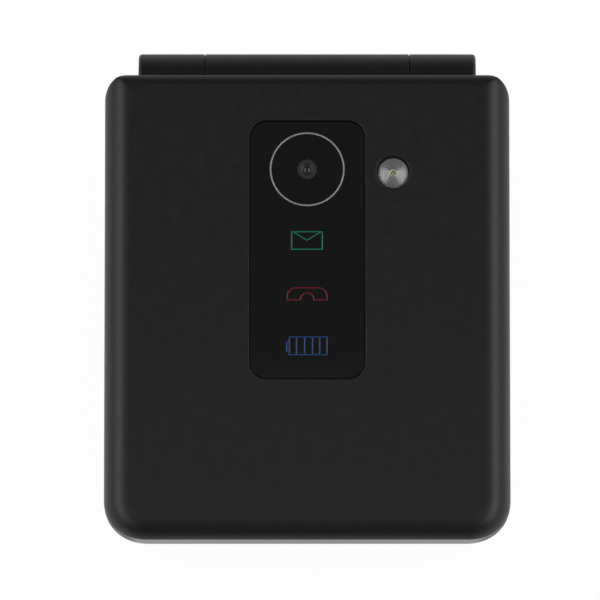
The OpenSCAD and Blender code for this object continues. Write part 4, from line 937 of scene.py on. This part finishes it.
# dashes on the soft keys, a leaning and a lying handset on the call and end keys
navX, navY, navTop = topMiddle("nav_ring")
keyTop = nodeBox("ok_key")[1][2]
softDash = np.array([(-keySet["dashHalf"], 0), (keySet["dashHalf"], 0)])
handsetShape = handsetOutline(keySet["handset"]) * mm
leanShape = turnedBy(handsetShape, keySet["lean"])
signSize = dict(keySet, width=keySet["signWidth"])
sideSigns = {"soft_key_left": (-1, 1, softDash, False, whiteInk),
             "soft_key_right": (1, 1, softDash, False, whiteInk),
             "call_key": (-1, -1, leanShape, True, callInk),
             "end_key": (1, -1, handsetShape, True, endInk)}
for keyName, (side, level, path, closed, ink) in sideSigns.items():
    middle = (side * keySet["sideX"], navY + level * keySet["sideY"], keyTop)
    drawLines("sign_" + keyName, [(path, closed)], signSize, middle, flatAxes, ink, keyName, keyCrown)


def okCrown(x, y):
    # the middle key's round top: drop = R - sqrt(R^2 - x^2 - y^2)
    radius = keySet["okCrownR"]
    return np.sqrt(radius ** 2 - x ** 2 - y ** 2) - radius


okSign = arc(0, 0, keySet["okR"], keySet["okR"], 0, 350, 40)
drawLines("sign_ok_key", [(okSign, True)], signSize, (navX, navY, keyTop), flatAxes, whiteInk, "ok_key",
          okCrown)

# arrow heads on the ring
navSet = {
    "width": 0.32 * mm,
    "markR": 7.9 * mm,
    "markHalf": 0.62 * mm,
    "markFrom": 1.1,          # foot and tip of the mark, inside markR, as shares of markHalf
    "markTo": 0.1,
    "dishR": 8 * mm,          # of the dip's section
    "dishDrop": 0.2 * mm,
    "dishMiddle": 6.525 * mm,
}


def navCrown(x, y):
    # dip = R - sqrt(R^2 - a^2) - drop, with a the distance from the circle of radius dishMiddle; flat outside
    away = np.sqrt(x ** 2 + y ** 2) - navSet["dishMiddle"]
    dip = navSet["dishR"] - np.sqrt(navSet["dishR"] ** 2 - away ** 2) - navSet["dishDrop"]
    return np.minimum(dip, 0)


def navMark(values):
    # a chevron at radius markR, pointing away from the middle
    half, r = values["markHalf"], values["markR"]
    foot = r - values["markFrom"] * half
    return np.array([(-half, foot), (0, r - values["markTo"] * half), (half, foot)])


navMarks = [(turnedBy(navMark(navSet), turn), False) for turn in (0, 90, 180, 270)]
drawLines("sign_nav_ring", navMarks, dict(keySet, **navSet), (navX, navY, navTop), flatAxes, whiteInk,
          "nav_ring", navCrown)

# plus and minus on the rocker's outer face
rockerSet = {
    "width": 0.22 * mm,
    "signAt": 4.8 * mm,
    "signHalf": 0.5 * mm,
}


def rockerPaths(values):
    # u runs along -y and v up: the plus at -signAt, the minus at +signAt
    at, half = values["signAt"], values["signHalf"]
    strokes = (((-at - half, 0), (half - at, 0)), ((at - half, 0), (at + half, 0)),
               ((-at, -half), (-at, half)))
    return [(np.array(stroke), False) for stroke in strokes]


rockerMiddle = (nodeBox("volume_key")[0][0],) + tuple(nodeCentre("volume_key")[1:])
rockerAxes = ((0, -1, 0), (0, 0, 1), (-1, 0, 0))
drawLines("sign_volume_key", rockerPaths(rockerSet), dict(keySet, **rockerSet), rockerMiddle, rockerAxes,
          whiteInk, "volume_key")
print("key signs done")


# turned pieces
def sealed(made):
    # doubles merged and faces turned outwards
    work = bmesh.new()
    work.from_mesh(made.data)
    bmesh.ops.remove_doubles(work, verts=work.verts, dist=1e-7)
    bmesh.ops.recalc_face_normals(work, faces=work.faces)
    work.to_mesh(made.data)
    work.free()
    return made


def turned(name, profile, centre, material, body, steps, smooth=True, axis=2, shift=0.0):
    # profile (radius, place along the axis) carried round the line through centre as radius * (cos t, sin t);
    # shift moves each of its circles sideways; points on the line are merged
    profile = np.asarray(profile, float)
    t = np.linspace(0, 2 * math.pi, steps, endpoint=False)[:, None]
    first, second = (axis + 1) % 3, (axis + 2) % 3
    grid = np.empty((steps, len(profile), 3))
    grid[..., first] = centre[first] + np.cos(t) * profile[:, 0]
    grid[..., second] = centre[second] + np.sin(t) * profile[:, 0] + shift
    grid[..., axis] = profile[:, 1]
    faces = gridFaces(steps, len(profile), True)
    return sealed(meshObject(name, grid.reshape(-1, 3), faces.tolist(), material, body, smooth))


# thin black washers that close the slits beside the middle knuckle: dark pieces that stand in for the shade
# in those slits
washerSet = {
    "innerR": 2.7 * mm,
    "outerR": 4.585 * mm,
    "from": 15.553 * mm,
    "to": 15.597 * mm,
    "steps": 96,
}


def makeWasher(name, side, values):
    # section (radius, x) carried round the hinge's axis
    inner, outer, near, far = values["innerR"], values["outerR"], side * values["from"], side * values["to"]
    section = [(inner, near), (outer, near), (outer, far), (inner, far), (inner, near)]
    turned(name, section, nodeCentre("hinge_sleeve"), materialOf["black_plastic"], "base", values["steps"],
           False, 0)


makeWasher("hinge_washer_left", -1, washerSet)
makeWasher("hinge_washer_right", 1, washerSet)
print("hinge washers done")


# window panel with a clear joint round it, and the camera's ring standing free in its groove
windowSet = {
    "joint": 0.07 * mm,        # taken off all round
    "edge": 0.04 * mm,         # small slope round the top
    "cornerR": 2.5 * mm,
    "step": 0.4 * mm,
    "ringR": 5.6 * mm,
    "ringWidth": 0.25 * mm,
    "ringCrown": 0.035 * mm,
    "grooveWidth": 0.40 * mm,
    "grooveDepth": 0.33 * mm,
    "lensGap": 0.035 * mm,
    "cornerSteps": 16,
    "ringSteps": 128,
}


def panelOutline(half, values):
    # rounded rectangle: straight sides and quarter circles, with the way outwards at each point
    radius = values["cornerR"]
    core = half - radius
    corners = [arc(core[0] * sx, core[1] * sy, radius, radius, start, start + 90, values["cornerSteps"])
               for sx, sy, start in ((1, 1, 0), (-1, 1, 90), (-1, -1, 180), (1, -1, 270))]
    points = resampled(joined(*corners), True, values["step"])
    outwards = points - np.clip(points, -core, core)
    return points, outwards / np.linalg.norm(outwards, axis=1)[:, None]


def makeWindow(values):
    # loops from the foot of the outer wall over the top and the ring's groove down into the lens hole; the
    # circles take each outline point's angle about the camera
    low, high = nodeBox("lid_window")
    camera = nodeCentre("camera_ring")[:2]
    points, outwards = panelOutline((high - low)[:2] / 2 - values["joint"], values)
    points = points + (low[:2] + high[:2]) / 2
    angle = np.arctan2(*(points - camera).T[::-1])
    spokes = np.stack((np.cos(angle), np.sin(angle)), 1)
    lensLow, lensHigh = nodeBox("camera_lens")
    ringOut = camera + spokes * (values["ringR"] + values["grooveWidth"] / 2)
    ringIn = camera + spokes * (values["ringR"] - values["grooveWidth"] / 2)
    lensHole = camera + spokes * ((lensHigh[0] - lensLow[0]) / 2 + values["lensGap"])
    top, foot, sunk = high[2], low[2], high[2] - values["grooveDepth"]
    loops = [(points, foot), (points, top - values["edge"]), (points - outwards * values["edge"], top),
             (ringOut, top), (ringOut, sunk), (ringIn, sunk), (ringIn, top),
             (lensHole, top), (lensHole, foot), (points, foot)]
    grid = np.stack([np.column_stack((loop, np.full(len(loop), height))) for loop, height in loops], 1)
    faces = gridFaces(len(points), len(loops), True)
    made = meshObject("lid_window_polished", grid.reshape(-1, 3), faces.tolist(), materialOf["smoked_gloss"],
                      "lid", False)
    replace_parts(sealed(made), "lid_window")


def makeRing(values):
    # section: upright sides, and a top that falls off towards both rims as ringCrown * u^4
    high = nodeBox("camera_ring")[1]
    u = np.linspace(-1, 1, 9)
    top = np.stack((values["ringR"] + u * values["ringWidth"] / 2, high[2] - values["ringCrown"] * u ** 4), 1)
    foot = float(high[2]) - values["grooveDepth"]
    profile = joined([(top[0, 0], foot)], top, [(top[-1, 0], foot), (top[0, 0], foot)])
    made = turned("camera_ring_crowned", profile, nodeCentre("camera_ring"), materialOf["ring_metal"], "lid",
                  values["ringSteps"])
    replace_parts(made, "camera_ring")


makeWindow(windowSet)
makeRing(windowSet)
print("window done")

# torch: lens with the chip seen in its middle, and the lining of its recess
torchSet = {
    "lensR": 2.30 * mm,
    "lensShift": 0.03 * mm,   # of the lens, towards the hinge
    "rimR": 2.10 * mm,        # fine groove inside the lens's rim
    "rimHalf": 0.04 * mm,
    "rimDepth": 0.035 * mm,
    "rings": 17,
    "ringPoints": 6,
    "ringDepth": 0.05 * mm,
    "domeR": 9 * mm,
    "lensSteps": 96,
    "pitR": 0.52 * mm,        # pit in the lens's middle, with the chip at its bottom
    "pitDepth": 0.62 * mm,
    "chipR": 0.40 * mm,
    "chipHigh": 0.16 * mm,
    "chipSteps": 48,
    "sleeveColour": (0.80, 0.79, 0.62, 1),
    "sleeveSlope": 0.05 * mm,
    "sleeveSteps": 64,
    "gap": 0.01 * mm,         # round the sleeve and the chip
    "linerR": 2.745 * mm,     # outer radius, and an inner circle set off towards the hinge
    "linerInnerR": 2.50 * mm,
    "linerShift": 0.19 * mm,
    "linerDrop": 0.05 * mm,   # top and foot, below the lid's face
    "linerFoot": 0.99 * mm,
    "linerEdge": 0.05 * mm,
    "linerSteps": 128,
}


def grooved(outer, values, top):
    # height = dome of radius domeR - saw tooth of ringDepth in that many rings - notch at rimR
    r = np.linspace(values["pitR"], outer, values["rings"] * values["ringPoints"] + 1)
    dome = np.sqrt(values["domeR"] ** 2 - r ** 2) - values["domeR"]
    saw = (r / outer * values["rings"]) % 1.0
    notch = np.maximum(0, 1 - np.abs(r - values["rimR"]) / values["rimHalf"])
    return np.stack((r, top + dome - values["ringDepth"] * saw - values["rimDepth"] * notch), 1)


def makeLiner(values, centre, lidTop):
    # loops (radius, height) carried round the torch's axis: outer wall, sloped rim, and an inner wall whose
    # circles are set off along y
    seat, top = lidTop - values["linerFoot"], lidTop - values["linerDrop"]
    outer, inner, edge = values["linerR"], values["linerInnerR"], values["linerEdge"]
    loops = [(outer, seat), (outer, top), (inner + edge, top), (inner, top - edge), (inner, seat),
             (outer, seat)]
    shift = values["linerShift"] * np.array([0, 0, 1, 1, 1, 0])
    turned("torch_recess_liner", loops, centre, materialOf["soft_touch"], "lid", values["linerSteps"],
           False, 2, shift)


def makeTorchLens(values, centre, top, foot):
    # profile from the pit's floor over its wall and the grooved face down to the foot
    outer, pitR, pitFloor = values["lensR"], values["pitR"], top - values["pitDepth"]
    face = grooved(outer, values, top)
    profile = joined([(0, pitFloor), (pitR, pitFloor)], face, [(outer, foot), (0, foot)])
    lens = turned("torch_lens_grooved", profile, centre, materialOf["clear_glass"], "lid",
                  values["lensSteps"])
    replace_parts(lens, "torch_lens")
    # pale sleeve lining the pit
    gap, rim = values["gap"], face[0, 1]
    wall, floor = pitR - gap, pitFloor + gap
    sleeve = [(wall, floor), (wall, rim + gap), (wall - values["sleeveSlope"], rim - 2 * gap),
              (values["chipR"] + 2 * gap, floor), (wall, floor)]
    turned("torch_chip_sleeve", sleeve, centre, printInk("chip_sleeve", values["sleeveColour"]), "lid",
           values["sleeveSteps"])
    # the chip's phosphor: height = chipHigh * sin t at radius chipR * cos t
    t = np.radians(np.linspace(90, 0, 10))
    dome = np.stack((values["chipR"] * np.cos(t), floor + values["chipHigh"] * np.sin(t)), 1)
    turned("torch_chip_dome", joined([(0, floor)], dome), centre, materialOf["led_yellow"], "lid",
           values["chipSteps"])


torchLow, torchHigh = nodeBox("torch_lens")
torchMiddle = (torchLow + torchHigh) / 2
makeLiner(torchSet, torchMiddle, float(nodeBox("lid_shell")[1][2]))
lensMiddle = torchMiddle + np.array([0, torchSet["lensShift"], 0])
makeTorchLens(torchSet, lensMiddle, float(torchHigh[2]), float(torchLow[2]))
print("torch done")
